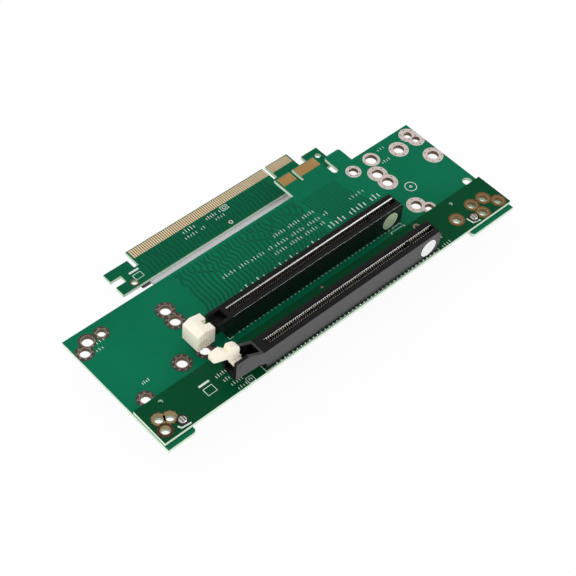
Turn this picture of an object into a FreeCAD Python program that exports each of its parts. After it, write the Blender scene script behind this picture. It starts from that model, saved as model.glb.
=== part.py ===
import FreeCAD, Part
import math
import os
import re
import Sketcher

# Riser card with two x16 sockets, a x1 card-edge tab and a cabled x16 edge card.
# Sizes are in millimetres. The sheet measures boards from the main board's front left
# corner: x along the slots, y towards the card edges, z up from the main board's top face.
# Every piece is then shifted so that the datum hole of the main board is the origin.

doc = FreeCAD.newDocument("riser_card")
sheet = doc.addObject("Spreadsheet::Sheet", "sizes")

SIZES = [
    # boards
    ("datum_across", 7.3), ("datum_in", 5.4),
    ("board_thick", 1.6), ("board_long", 178.3), ("board_deep", 60.2),
    ("left_foot_long", 12.6), ("right_foot_long", 23.3), ("front_cut", 15.0),
    ("corner_round", 1.2), ("edge_bevel", 0.45),
    # card-edge geometry shared by both card edges and both sockets
    ("key_across", 122.5), ("key_wide", 1.9), ("pin_pitch", 1.0), ("key_to_pin", 1.5),
    ("short_row", 11), ("tab_row", 7), ("long_row", 71), ("edge_margin", 1.15),
    ("finger_wide", 0.7), ("finger_thick", 0.05), ("finger_tip_gap", 0.7),
    # x1 tab of the main board and the tab beside it
    ("tab_out", 11.3), ("tab_key_deep", 7.3), ("tab_finger_long", 4.6),
    ("relief_wide", 2.9), ("relief_flat", 0.05), ("relief_deep", 1.4),
    ("side_tab_wide", 8.3), ("side_tab_out", 7.8),
    # strip board
    ("strip_front", 1.9), ("strip_deep", 17.3), ("strip_gap", 0.5),
    # edge card
    ("card_drop", 10.8), ("card_gap", 10.2), ("card_deep", 16.6), ("card_left_over", 13.85),
    ("shoulder_in", 8.4), ("hook_in", 4.0), ("hook_gap", 2.25), ("card_step_in", 12.0),
    ("card_step_wide", 5.0), ("card_right_over", 12.45), ("lug_gap", 3.85), ("lug_in", 5.4),
    ("lug_step_in", 11.5), ("card_finger_long", 4.2), ("card_key_deep", 7.8),
    ("card_hole", 1.3), ("card_hole_in", 7.1), ("card_hole_up", 2.3),
    ("lug_hole_in", 2.7), ("lug_hole_up", 7.3),
    # sockets
    ("socket_wide", 7.2), ("socket_tall", 11.25), ("socket_end", 2.0), ("socket_tail_end", 3.3),
    ("rear_socket_mid", 26.8), ("front_socket_mid", 6.5), ("mouth_wide", 1.9), ("mouth_deep", 8.2),
    ("mouth_play", 0.2), ("rib_wide", 1.5), ("rib_drop", 1.2),
    ("end_step", 1.7), ("end_step_tall", 8.6), ("end_step_wide", 6.4),
    ("cavity_wide", 0.6), ("cavity_deep", 0.75), ("cavity_down", 7.4),
    ("contact_wide", 0.4), ("contact_foot", 0.4), ("contact_bulge", 0.2),
    ("contact_down", 0.9), ("contact_crown", 0.6),
    # rear latch: a broad clip that straddles a tongue of the socket
    ("tongue_wide", 4.0), ("tongue_high", 6.5), ("tongue_pivot", 10.2), ("tongue_round", 2.0),
    ("ear_long", 5.7), ("ear_low", 8.2), ("ear_root", 4.0), ("ear_floor", 8.7),
    ("clip_wide", 8.6), ("clip_front", 5.5), ("clip_back", 2.5), ("clip_low", 1.0),
    ("clip_shoulder", 6.7), ("clip_tall", 8.0), ("clip_crest", 2.4), ("clip_play", 0.3),
    ("clip_side_play", 0.2), ("clip_groove", 2.2), ("clip_groove_in", 2.4),
    ("clip_groove_floor", 3.6),
    # front latch: a slim lever between two walls of the socket
    ("tower_left", 15.0), ("tower_low", 6.6), ("tower_high", 15.4), ("tower_top_long", 5.6),
    ("tower_heel", 3.4), ("tower_step", 1.2), ("tower_root", 3.2), ("tower_slope", 4.6),
    ("tower_toe", 1.8), ("tower_shoulder", 1.4), ("tower_gap_end", 3.0),
    ("wall_thick", 1.3), ("tower_floor", 8.0), ("lever_play", 0.2), ("lever_pivot_in", 3.0),
    ("lever_pivot_up", 12.0), ("lever_foot", 2.1), ("lever_wide", 2.6),
    ("pin_radius", 1.1), ("pin_play", 0.06),
    # ribbon and the bars that clamp its ends
    ("ribbon_thick", 0.9), ("ribbon_over", 0.85), ("ribbon_bend", 2.2),
    ("ribbon_out", 1.6), ("ribbon_grip", 3.2), ("bar_tall", 2.6), ("bar_deep", 4.2),
    ("bar_in", 1.0), ("bar_over", 7.0),
    # posts and eyelets of the strip board
    ("post_radius", 1.2), ("post_hole", 1.5), ("post_flange", 2.3), ("post_over", 0.5),
    ("eyelet_wall", 0.2), ("eyelet_rim", 0.9), ("rim_thick", 0.06),
    # round paper labels on the socket fronts
    ("label_radius", 3.9), ("label_thick", 0.1), ("label_past_key", 8.1), ("label_up", 5.3),
]
for row, (alias, size) in enumerate(SIZES, start=1):
    sheet.set(f"A{row}", alias)
    sheet.set(f"B{row}", str(size))
    sheet.setAlias(f"B{row}", alias)
doc.recompute()

# Holes as (across, up, radius) from the main board's front left corner. A negative place is
# measured back from the board's right end or back edge, so those holes keep to that edge.
MAIN_HOLES = [
    (7.3, -5.4, 2.3), (13.5, -5.6, 1.7), (3.4, -9.0, 2.1), (38.0, -12.3, 2.2), (37.7, -18.4, 2.2),
    (27.4, 25.6, 2.2), (37.4, 24.7, 2.2), (7.5, 21.7, 2.0), (-4.0, -4.8, 1.7), (-3.0, -8.6, 1.6),
    (-12.8, -8.2, 2.3), (-4.0, -19.5, 2.3), (-25.8, -5.2, 2.5), (-36.3, -5.5, 1.9),
    (-29.5, -12.6, 2.3), (-29.4, -18.4, 2.3), (-29.5, 25.6, 2.2), (-26.4, 21.4, 1.8),
    (-3.8, 21.6, 2.0),
]
LEFT_EYELETS = [(4.6, 11.0, 1.7), (8.2, 9.2, 1.7), (3.5, 6.0, 1.7)]
RIGHT_EYELETS = [(-7.5, 10.0, 1.8), (-3.7, 5.2, 1.7), (-13.9, 10.4, 1.8), (-13.2, 4.9, 1.8),
                 (-24.3, 8.7, 1.9)]
STRIP_SMALL_HOLES = [(9.8, 16.4, 0.9), (-19.9, 16.1, 0.8)]
# Side profile of the front lever as (across, up) from its pivot: thumb pad, notch, round
# shoulder, toe and the hollow under the pad.
LEVER_PROFILE = [
    (-10.1, 7.6), (-11.3, 8.8), (-11.3, 12.0), (-7.1, 12.0), (-4.4, 8.9), (-3.7, 10.9),
    (-2.8, 10.7), (-0.9, 9.8), (0.6, 8.2), (1.1, 6.2), (0.8, 4.2), (2.2, 1.7), (0.9, 0.2),
    (-1.3, 1.5), (-2.7, 3.0), (-4.9, 5.2),
]
POSTS = {"left": (10.8, 5.5), "right": (-18.0, 5.3)}

DATUM_UP = "(board_deep - datum_in)"


def spot(across, up):
    """Expressions for a hole's place, where a negative one is tied to the far edge."""
    wide = f"board_long - {-across}" if across < 0 else f"{across}"
    deep = f"board_deep - {-up}" if up < 0 else f"{up}"
    return wide, deep


def bound(text):
    """An expression in which every plain alias is read from the sheet."""
    return re.sub(r"[a-z][a-z_]*[a-z]", lambda word: "sizes." + word.group(0), str(text))


def size(text):
    """The present value of such an expression."""
    return float(sheet.evalExpression(bound(text)))


def place(thing, across, up, high):
    """Seat a piece by sheet expressions, seen from the datum hole."""
    thing.setExpression("Placement.Base.x", bound(f"{across} - datum_across"))
    thing.setExpression("Placement.Base.y", bound(f"{up} - {DATUM_UP}"))
    thing.setExpression("Placement.Base.z", bound(high))


def new_body(label, across="0", up="0", high="0"):
    body = doc.addObject("PartDesign::Body", label)
    body.Label = label
    place(body, across, up, high)
    return body


def plane_of(body, role):
    return next(item for item in body.Origin.OriginFeatures if item.Role == role)


def new_sketch(body, name, role="XY_Plane", lift=None):
    sketch = body.newObject("Sketcher::SketchObject", name)
    sketch.AttachmentSupport = (plane_of(body, role), [""])
    sketch.MapMode = "FlatFace"
    if lift is not None:
        sketch.setExpression("AttachmentOffset.Base.z", bound(lift))
    return sketch


def pin_point(sketch, element, corner, across, up):
    """Tie one sketch point to sheet expressions for its two coordinates."""
    for kind, axis, text in (("DistanceX", -2, across), ("DistanceY", -1, up)):
        if abs(size(text)) < 1e-9:
            sketch.addConstraint(Sketcher.Constraint("PointOnObject", element, corner, axis))
            continue
        index = sketch.addConstraint(Sketcher.Constraint(kind, -1, 1, element, corner, size(text)))
        sketch.setExpression(f"Constraints[{index}]", bound(text))


def outline(sketch, corners):
    """A closed outline of straight edges through corners given as expressions."""
    points = [FreeCAD.Vector(size(across), size(up), 0) for across, up in corners]
    first = sketch.GeometryCount
    for here, after in zip(points, points[1:] + points[:1]):
        sketch.addGeometry(Part.LineSegment(here, after), False)
    for step in range(len(points)):
        follower = first + (step + 1) % len(points)
        sketch.addConstraint(Sketcher.Constraint("Coincident", first + step, 2, follower, 1))
    for step, (across, up) in enumerate(corners):
        pin_point(sketch, first + step, 1, across, up)


def box_corners(left, right, low, high):
    return [(left, low), (right, low), (right, high), (left, high)]


def circle(sketch, across, up, radius):
    centre = FreeCAD.Vector(size(across), size(up), 0)
    index = sketch.addGeometry(Part.Circle(centre, FreeCAD.Vector(0, 0, 1), size(radius)), False)
    pin_point(sketch, index, 3, across, up)
    ring = sketch.addConstraint(Sketcher.Constraint("Radius", index, size(radius)))
    sketch.setExpression(f"Constraints[{ring}]", bound(radius))


def pad(body, sketch, name, length, midplane=False, reverse=False):
    feature = body.newObject("PartDesign::Pad", name)
    feature.Profile = sketch
    feature.setExpression("Length", bound(length))
    feature.Midplane = midplane
    feature.Reversed = reverse
    body.Tip = feature
    return feature


def pocket(body, sketch, name, length=None, midplane=False, reverse=False):
    """Cut a sketch down into the body, or right through it where no length is given."""
    feature = body.newObject("PartDesign::Pocket", name)
    feature.Profile = sketch
    if length is None:
        feature.Type = "ThroughAll"
    else:
        feature.setExpression("Length", bound(length))
    feature.Midplane = midplane
    feature.Reversed = reverse
    body.Tip = feature
    return feature


def repeat(body, feature, sketch, name, count, reverse=True):
    """Repeat a feature at the pin pitch along the sketch's horizontal axis."""
    pattern = body.newObject("PartDesign::LinearPattern", name)
    pattern.Originals = [feature]
    pattern.Direction = (sketch, ["H_Axis"])
    pattern.Reversed = reverse
    pattern.setExpression("Length", bound(f"({count} - 1) * pin_pitch"))
    pattern.setExpression("Occurrences", bound(count))
    body.Tip = pattern
    return pattern


def upright_edges(feature, spots):
    """Names of the edges that stand on the given (x, y) spots of a body's own frame."""
    names = []
    for number, edge in enumerate(feature.Shape.Edges, start=1):
        ends = [vertex.Point for vertex in edge.Vertexes]
        if len(ends) != 2 or abs(ends[0].z - ends[1].z) < 0.5:
            continue
        for across, up in spots:
            if all(abs(end.x - across) < 0.01 and abs(end.y - up) < 0.01 for end in ends):
                names.append(f"Edge{number}")
    return names


def level_edges(feature, up, lowest):
    """Names of the top and bottom edges that run along x at a given y, right of lowest."""
    names = []
    for number, edge in enumerate(feature.Shape.Edges, start=1):
        ends = [vertex.Point for vertex in edge.Vertexes]
        if len(ends) == 2 and all(abs(end.y - up) < 0.01 and end.x > lowest for end in ends):
            if abs(ends[0].z - ends[1].z) < 0.01:
                names.append(f"Edge{number}")
    return names


def dress(body, kind, name, feature, names, amount):
    """A fillet or chamfer on named edges of the last feature."""
    finish = body.newObject(f"PartDesign::{kind}", name)
    finish.Base = (feature, names)
    finish.setExpression("Radius" if kind == "Fillet" else "Size", bound(amount))
    body.Tip = finish
    return finish


def drill(body, name, holes, lift):
    """Round holes right through a board, at (across, up, radius)."""
    sketch = new_sketch(body, f"{name}_sketch", "XY_Plane", lift)
    for across, up, radius in holes:
        circle(sketch, across, up, radius)
    return pocket(body, sketch, name)


# ---- boards -------------------------------------------------------------------------

KEY_LEFT = "key_across - key_wide / 2"
KEY_RIGHT = "key_across + key_wide / 2"
SHORT_RIGHT = "key_across + key_to_pin + (short_row - 1) * pin_pitch + edge_margin"
TAB_LEFT = "key_across - key_to_pin - (tab_row - 1) * pin_pitch - edge_margin"
LONG_LEFT = "key_across - key_to_pin - (long_row - 1) * pin_pitch - edge_margin"
TAB_TIP = "(board_deep + tab_out)"
CARD_FRONT = "(board_deep + card_gap)"
CARD_TIP = f"({CARD_FRONT} + card_deep)"
CARD_LEFT = f"({LONG_LEFT} - card_left_over)"
CARD_RIGHT = f"({SHORT_RIGHT} + card_right_over)"


def main_board():
    body = new_body("main_board", high="-board_thick")
    side_left = f"{SHORT_RIGHT} + relief_wide"
    side_right = f"{side_left} + side_tab_wide"
    side_tip = "board_deep + side_tab_out"
    relief_floor = "board_deep - relief_deep"
    key_floor = f"{TAB_TIP} - tab_key_deep"
    sketch = new_sketch(body, "main_board_outline")
    outline(sketch, [
        ("0", "0"), ("left_foot_long", "0"), ("left_foot_long", "front_cut"),
        ("board_long - right_foot_long", "front_cut"), ("board_long - right_foot_long", "0"),
        ("board_long", "0"), ("board_long", "board_deep"), (side_right, "board_deep"),
        (side_right, side_tip), (side_left, side_tip), (side_left, relief_floor),
        (SHORT_RIGHT, relief_floor), (SHORT_RIGHT, TAB_TIP), (KEY_RIGHT, TAB_TIP),
        (KEY_RIGHT, key_floor), (KEY_LEFT, key_floor), (KEY_LEFT, TAB_TIP),
        (TAB_LEFT, TAB_TIP), (TAB_LEFT, "board_deep"), ("0", "board_deep"),
    ])
    plate = pad(body, sketch, "main_board_plate", "board_thick")
    doc.recompute()
    spots = [(0, 0), (size("left_foot_long"), 0), (size("board_long"), 0),
             (size("board_long - right_foot_long"), 0), (0, size("board_deep")),
             (size("board_long"), size("board_deep")), (size(side_left), size(side_tip)),
             (size(side_right), size(side_tip))]
    rounded = dress(body, "Fillet", "main_board_corners", plate,
                    upright_edges(plate, spots), "corner_round")
    doc.recompute()
    spots = [(size(SHORT_RIGHT), size(relief_floor)), (size(side_left), size(relief_floor))]
    relief = dress(body, "Fillet", "main_board_relief", rounded,
                   upright_edges(rounded, spots), "relief_wide / 2 - relief_flat")
    doc.recompute()
    dress(body, "Chamfer", "main_board_tip_bevel", relief,
          level_edges(relief, size(TAB_TIP), 0), "edge_bevel")
    holes = [(*spot(across, up), radius) for across, up, radius in MAIN_HOLES]
    holes += [(*spot(across, up), "post_hole") for across, up in POSTS.values()]
    drill(body, "main_board_holes", holes, "board_thick")
    return body


def strip_board():
    body = new_body("strip_board", up="strip_front", high="strip_gap")
    sketch = new_sketch(body, "strip_board_outline")
    outline(sketch, box_corners("0", "board_long", "0", "strip_deep"))
    pad(body, sketch, "strip_board_plate", "board_thick")
    posts = [(across, up, "post_hole") for across, up in POSTS.values()]
    eyelets = [(across, up, f"{radius} + eyelet_wall")
               for across, up, radius in LEFT_EYELETS + RIGHT_EYELETS]
    holes = [(spot(across, up)[0], f"{up} - strip_front", radius)
             for across, up, radius in STRIP_SMALL_HOLES + posts + eyelets]
    drill(body, "strip_board_holes", holes, "board_thick")
    return body


def edge_card():
    body = new_body("edge_card", high="-card_drop - board_thick")
    sketch = new_sketch(body, "edge_card_outline")
    shoulder = f"{CARD_TIP} - shoulder_in"
    hook_tip = f"{CARD_TIP} - hook_in"
    hook_right = f"{LONG_LEFT} - hook_gap"
    step = f"{CARD_TIP} - card_step_in"
    step_right = f"{CARD_LEFT} + card_step_wide"
    lug_left = f"{SHORT_RIGHT} + lug_gap"
    lug_tip = f"{CARD_TIP} - lug_in"
    lug_step = f"{CARD_TIP} - lug_step_in"
    key_floor = f"{CARD_TIP} - card_key_deep"
    outline(sketch, [
        (CARD_LEFT, CARD_FRONT), (CARD_RIGHT, CARD_FRONT), (CARD_RIGHT, lug_tip),
        (lug_left, lug_tip), (lug_left, lug_step), (SHORT_RIGHT, lug_step),
        (SHORT_RIGHT, CARD_TIP), (KEY_RIGHT, CARD_TIP), (KEY_RIGHT, key_floor),
        (KEY_LEFT, key_floor), (KEY_LEFT, CARD_TIP), (LONG_LEFT, CARD_TIP),
        (LONG_LEFT, shoulder), (hook_right, shoulder), (hook_right, hook_tip),
        (CARD_LEFT, hook_tip), (CARD_LEFT, shoulder), (step_right, shoulder),
        (step_right, step), (CARD_LEFT, step),
    ])
    plate = pad(body, sketch, "edge_card_plate", "board_thick")
    doc.recompute()
    dress(body, "Chamfer", "edge_card_tip_bevel", plate,
          level_edges(plate, size(CARD_TIP), 0), "edge_bevel")
    holes = [(f"{CARD_LEFT} + card_hole_in", f"{CARD_FRONT} + card_hole_up", "card_hole"),
             (f"{CARD_RIGHT} - lug_hole_in", f"{CARD_FRONT} + lug_hole_up", "card_hole")]
    drill(body, "edge_card_holes", holes, "board_thick")
    return body


# ---- gold fingers -------------------------------------------------------------------

def finger_row(label, long_count, tip, length, face):
    """Thin pads along one face of a card edge, on both sides of its key."""
    pitch = size("pin_pitch")
    wide = size("finger_wide")
    thick = size("finger_thick")
    base = size(f"{tip} - finger_tip_gap - {length} - {DATUM_UP}")
    low = size(face)
    starts = [size("key_across + key_to_pin") + step * pitch
              for step in range(int(size("short_row")))]
    starts += [size("key_across - key_to_pin") - step * pitch for step in range(int(size(long_count)))]
    pads = []
    for middle in starts:
        left = middle - wide / 2 - size("datum_across")
        pads.append(Part.makeBox(wide, size(length), thick, FreeCAD.Vector(left, base, low)))
    feature = doc.addObject("Part::Feature", label)
    feature.Label = label
    feature.Shape = Part.makeCompound(pads)
    return feature


# ---- sockets ------------------------------------------------------------------------

MOUTH_RIGHT = "key_to_pin + (short_row - 1) * pin_pitch + edge_margin + mouth_play"
MOUTH_LEFT = "-(key_to_pin + (long_row - 1) * pin_pitch + edge_margin + mouth_play)"
SOCKET_RIGHT = "key_to_pin + (short_row - 1) * pin_pitch + socket_end"
SOCKET_LEFT = "-(key_to_pin + (long_row - 1) * pin_pitch + socket_tail_end)"


def socket_block(label, middle, seat):
    """Moulded block with its card mouth, key rib and two rows of contact cavities."""
    body = new_body(label, across="key_across", up=middle, high=seat)
    sketch = new_sketch(body, f"{label}_outline")
    outline(sketch, box_corners(SOCKET_LEFT, SOCKET_RIGHT, "-socket_wide / 2", "socket_wide / 2"))
    pad(body, sketch, f"{label}_block", "socket_tall")
    sketch = new_sketch(body, f"{label}_mouth_outline", "XY_Plane", "socket_tall")
    outline(sketch, box_corners(MOUTH_LEFT, "-rib_wide / 2", "-mouth_wide / 2", "mouth_wide / 2"))
    outline(sketch, box_corners("rib_wide / 2", MOUTH_RIGHT, "-mouth_wide / 2", "mouth_wide / 2"))
    pocket(body, sketch, f"{label}_mouth", "mouth_deep")
    sketch = new_sketch(body, f"{label}_rib_outline", "XY_Plane", "socket_tall")
    outline(sketch, box_corners("-rib_wide", "rib_wide", "-mouth_wide / 2", "mouth_wide / 2"))
    pocket(body, sketch, f"{label}_rib_top", "rib_drop")
    for side, start, count in (("short", "key_to_pin", "short_row"), ("long", "-key_to_pin", "long_row")):
        sketch = new_sketch(body, f"{label}_{side}_cavity_outline", "XY_Plane", "socket_tall")
        outline(sketch, box_corners(f"{start} - cavity_wide / 2", f"{start} + cavity_wide / 2",
                                    "-mouth_wide / 2 - cavity_deep", "mouth_wide / 2 + cavity_deep"))
        cavity = pocket(body, sketch, f"{label}_{side}_cavity", "cavity_down")
        repeat(body, cavity, sketch, f"{label}_{side}_cavities", count, side == "long")
    sketch = new_sketch(body, f"{label}_step_outline", "XZ_Plane")
    outline(sketch, box_corners(SOCKET_RIGHT, f"{SOCKET_RIGHT} + end_step", "0", "end_step_tall"))
    pad(body, sketch, f"{label}_step", "end_step_wide", midplane=True)
    return body


def contact_row(label, middle, seat, side):
    """Bowed spring contacts, one in each cavity of one wall; side is -1 front, 1 back."""
    root = side * size("mouth_wide / 2 + cavity_deep")
    crown = side * size("mouth_wide / 2 - contact_bulge")
    foot = size(f"{seat} + socket_tall - cavity_down + contact_foot")
    head = size(f"{seat} + socket_tall - contact_down")
    line = size(f"{middle} - {DATUM_UP}")
    wide = size("contact_wide")
    bow = size("contact_crown")
    pitch = size("pin_pitch")
    places = [size("key_to_pin") + step * pitch for step in range(int(size("short_row")))]
    places += [-size("key_to_pin") - step * pitch for step in range(int(size("long_row")))]
    springs = []
    for offset in places:
        left = size("key_across - datum_across") + offset - wide / 2
        corners = [FreeCAD.Vector(left, line + root, foot), FreeCAD.Vector(left, line + root, head),
                   FreeCAD.Vector(left, line + crown, foot + (head - foot) * bow)]
        profile = Part.Face(Part.makePolygon(corners + corners[:1]))
        springs.append(profile.extrude(FreeCAD.Vector(wide, 0, 0)))
    feature = doc.addObject("Part::Feature", label)
    feature.Label = label
    feature.Shape = Part.makeCompound(springs)
    return feature


def rear_socket():
    """The rear socket has two ears at its left end, and a round-ended tongue for the clip."""
    body = socket_block("rear_socket", "rear_socket_mid", "0")
    sketch = new_sketch(body, "rear_ear_outline", "XZ_Plane")
    outline(sketch, [
        (f"{SOCKET_LEFT} - ear_long", "ear_low"), (SOCKET_LEFT, "ear_root"),
        (SOCKET_LEFT, "socket_tall"), (f"{SOCKET_LEFT} - ear_long", "socket_tall"),
    ])
    pad(body, sketch, "rear_ears", "socket_wide", midplane=True)
    sketch = new_sketch(body, "rear_ear_gap_outline", "XZ_Plane")
    outline(sketch, box_corners(f"{SOCKET_LEFT} - 2 * ear_long", SOCKET_LEFT,
                                "ear_floor", "2 * socket_tall"))
    pocket(body, sketch, "rear_ear_gap", "socket_wide - 2 * wall_thick", midplane=True)
    sketch = new_sketch(body, "rear_tongue_outline", "XZ_Plane")
    middle = f"{SOCKET_LEFT} - tongue_pivot"
    outline(sketch, box_corners(middle, SOCKET_LEFT, "tongue_high - tongue_round",
                                "tongue_high + tongue_round"))
    pad(body, sketch, "rear_tongue", "tongue_wide", midplane=True)
    sketch = new_sketch(body, "rear_tongue_end_outline", "XZ_Plane")
    circle(sketch, middle, "tongue_high", "tongue_round")
    pad(body, sketch, "rear_tongue_end", "tongue_wide", midplane=True)
    sketch = new_sketch(body, "rear_pivot_outline", "XZ_Plane")
    circle(sketch, middle, "tongue_high", "pin_radius + pin_play")
    pocket(body, sketch, "rear_pivot_bore", "tongue_wide * 2", midplane=True)
    return body


def front_socket():
    """The front socket ends in a raised tower: two walls with the lever between them."""
    body = socket_block("front_socket", "front_socket_mid", "strip_gap + board_thick")
    sketch = new_sketch(body, "tower_outline", "XZ_Plane")
    left = f"{SOCKET_LEFT} - tower_left"
    outline(sketch, [
        (left, "tower_low"), (f"{SOCKET_LEFT} - tower_heel", "tower_low - tower_step"),
        (SOCKET_LEFT, "tower_low - tower_root"), (SOCKET_LEFT, "socket_tall"),
        (f"{SOCKET_LEFT} - tower_toe", "socket_tall"),
        (f"{SOCKET_LEFT} - tower_slope", "socket_tall + tower_shoulder"),
        (f"{left} + tower_top_long", "tower_high"), (left, "tower_high"),
    ])
    pad(body, sketch, "tower", "socket_wide", midplane=True)
    sketch = new_sketch(body, "tower_gap_outline", "XZ_Plane")
    outline(sketch, box_corners(f"{left} - wall_thick", f"{SOCKET_LEFT} - tower_gap_end",
                                "tower_floor", "tower_high + wall_thick"))
    pocket(body, sketch, "tower_gap", "socket_wide - 2 * wall_thick", midplane=True)
    sketch = new_sketch(body, "front_pivot_outline", "XZ_Plane")
    circle(sketch, f"{left} + lever_pivot_in", "lever_pivot_up", "pin_radius + pin_play")
    pocket(body, sketch, "front_pivot_bore", "socket_wide * 2", midplane=True)
    return body


# ---- latches ------------------------------------------------------------------------

CLIP_ACROSS = f"key_across + {SOCKET_LEFT} - tongue_pivot"
LEVER_ACROSS = f"key_across + {SOCKET_LEFT} - tower_left + lever_pivot_in"


def rear_latch():
    """Broad clip, drawn about its pivot, with a groove for the card's hook."""
    body = new_body("rear_latch", CLIP_ACROSS, "rear_socket_mid", "tongue_high")
    sketch = new_sketch(body, "clip_outline", "XZ_Plane")
    outline(sketch, [
        ("-clip_front", "-clip_low"), ("clip_back", "-clip_low"), ("clip_back", "clip_shoulder"),
        ("-clip_crest", "clip_tall"), ("-clip_front", "clip_shoulder"),
    ])
    pad(body, sketch, "clip_block", "clip_wide", midplane=True)
    sketch = new_sketch(body, "clip_groove_outline", "XZ_Plane")
    outline(sketch, box_corners("clip_back - clip_groove_in", "clip_back * 2",
                                "clip_groove_floor", "clip_tall * 2"))
    pocket(body, sketch, "clip_groove_cut", "clip_groove", midplane=True)
    sketch = new_sketch(body, "clip_fork_outline", "XZ_Plane")
    outline(sketch, box_corners("0", "clip_back * 2", "-clip_low * 2", "tongue_round + clip_play"))
    fork = "(tongue_wide + 2 * clip_side_play)"
    pocket(body, sketch, "clip_fork", fork, midplane=True)
    sketch = new_sketch(body, "clip_eye_outline", "XZ_Plane")
    circle(sketch, "0", "0", "tongue_round + clip_play")
    pocket(body, sketch, "clip_eye", fork, midplane=True)
    sketch = new_sketch(body, "clip_pin_outline", "XZ_Plane")
    circle(sketch, "0", "0", "pin_radius")
    pad(body, sketch, "clip_pin", f"({fork} + clip_wide) / 2", midplane=True)
    return body


def front_latch():
    """Slim lever, drawn about its pivot, with a thumb pad and a round shoulder."""
    body = new_body("front_latch", LEVER_ACROSS, "front_socket_mid",
                    "strip_gap + board_thick + lever_pivot_up")
    inside = "(socket_wide - 2 * wall_thick - 2 * lever_play)"
    sketch = new_sketch(body, "lever_foot_outline", "XZ_Plane")
    circle(sketch, "0", "0", "lever_foot")
    pad(body, sketch, "lever_foot_disc", inside, midplane=True)
    sketch = new_sketch(body, "lever_blade_outline", "XZ_Plane", f"-{inside} / 2")
    outline(sketch, [(f"{across}", f"{up}") for across, up in LEVER_PROFILE])
    pad(body, sketch, "lever_blade", "lever_wide")
    sketch = new_sketch(body, "lever_pin_outline", "XZ_Plane")
    circle(sketch, "0", "0", "pin_radius")
    pad(body, sketch, "lever_pin", "socket_wide - wall_thick", midplane=True)
    return body


# ---- ribbon and clamp bars ----------------------------------------------------------

RIBBON_LEFT = f"({LONG_LEFT} - ribbon_over)"
RIBBON_WIDE = f"({SHORT_RIGHT} - ({LONG_LEFT}) + 2 * ribbon_over)"
BAR_LEFT = f"{RIBBON_LEFT} - bar_over"
BAR_LONG = f"({RIBBON_WIDE} + 2 * bar_over)"


def clamp_bar(label, up, high):
    """Bar under a board's edge, notched on top for the ribbon's flat end."""
    body = new_body(label, BAR_LEFT, up, high)
    sketch = new_sketch(body, f"{label}_side", "XZ_Plane")
    outline(sketch, [
        ("0", "-bar_tall"), (BAR_LONG, "-bar_tall"), (BAR_LONG, "0"),
        (f"{BAR_LONG} - bar_over", "0"), (f"{BAR_LONG} - bar_over", "-ribbon_thick"),
        ("bar_over", "-ribbon_thick"), ("bar_over", "0"), ("0", "0"),
    ])
    pad(body, sketch, f"{label}_block", "bar_deep", reverse=True)
    return body


def ribbon_cable():
    """Flat cable: level under each board, sloping between them, with two equal bends."""
    thick = size("ribbon_thick")
    bend = size("ribbon_bend")
    high = -size("board_thick") - thick / 2
    low = -size("card_drop + board_thick") - thick / 2
    start = size("board_deep - bar_in - ribbon_grip")
    stop = size(f"{CARD_FRONT} + ribbon_grip")
    upper_corner = size("board_deep - bar_in + ribbon_out")
    lower_corner = size(f"{CARD_FRONT} - ribbon_out")
    turn = math.atan2(high - low, lower_corner - upper_corner)
    setback = bend * math.tan(turn / 2)
    left = size(f"{RIBBON_LEFT} - datum_across")
    datum = size(DATUM_UP)

    def point(up, tall):
        return FreeCAD.Vector(left, up - datum, tall)

    along = setback * math.cos(turn)
    down = setback * math.sin(turn)
    half_along = bend * math.sin(turn / 2)
    half_down = bend * (1 - math.cos(turn / 2))
    upper_in = point(upper_corner - setback, high)
    upper_mid = point(upper_corner - setback + half_along, high - half_down)
    upper_out = point(upper_corner + along, high - down)
    lower_in = point(lower_corner - along, low + down)
    lower_mid = point(lower_corner + setback - half_along, low + half_down)
    lower_out = point(lower_corner + setback, low)
    path = Part.Wire([
        Part.LineSegment(point(start, high), upper_in).toShape(),
        Part.Arc(upper_in, upper_mid, upper_out).toShape(),
        Part.LineSegment(upper_out, lower_in).toShape(),
        Part.Arc(lower_in, lower_mid, lower_out).toShape(),
        Part.LineSegment(lower_out, point(stop, low)).toShape(),
    ])
    foot = point(start, high - thick / 2)
    top = point(start, high + thick / 2)
    wide = FreeCAD.Vector(size(RIBBON_WIDE), 0, 0)
    section = Part.makePolygon([foot, top, top + wide, foot + wide, foot])
    feature = doc.addObject("Part::Feature", "ribbon_cable")
    feature.Label = "ribbon_cable"
    feature.Shape = path.makePipeShell([section], True, True)
    expected = path.Length * thick * size(RIBBON_WIDE)
    print(f"ribbon length {path.Length:.2f} mm, volume {feature.Shape.Volume:.2f}, "
          f"section times length {expected:.2f}")
    return feature


# ---- posts, eyelets and labels ------------------------------------------------------

def turned(label, across, up, steps):
    """A turned post made of coaxial cylinders, each (radius, from, to)."""
    solid = None
    for radius, low, high in steps:
        base = FreeCAD.Vector(size(f"{across} - datum_across"), size(f"{up} - {DATUM_UP}"), low)
        step = Part.makeCylinder(radius, high - low, base)
        solid = step if solid is None else solid.fuse(step)
    feature = doc.addObject("Part::Feature", label)
    feature.Label = label
    feature.Shape = solid.removeSplitter()
    return feature


def strip_post(side):
    """Flanged post that carries the strip board over the main board."""
    across, up = spot(*POSTS[side])
    shank = size("post_radius")
    gap = size("strip_gap")
    top = size("strip_gap + board_thick + post_over")
    foot = -size("board_thick + post_over")
    return turned(f"strip_post_{side}", across, up, [
        (shank, foot, 0), (size("post_flange"), 0, gap), (shank, gap, top),
    ])


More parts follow.
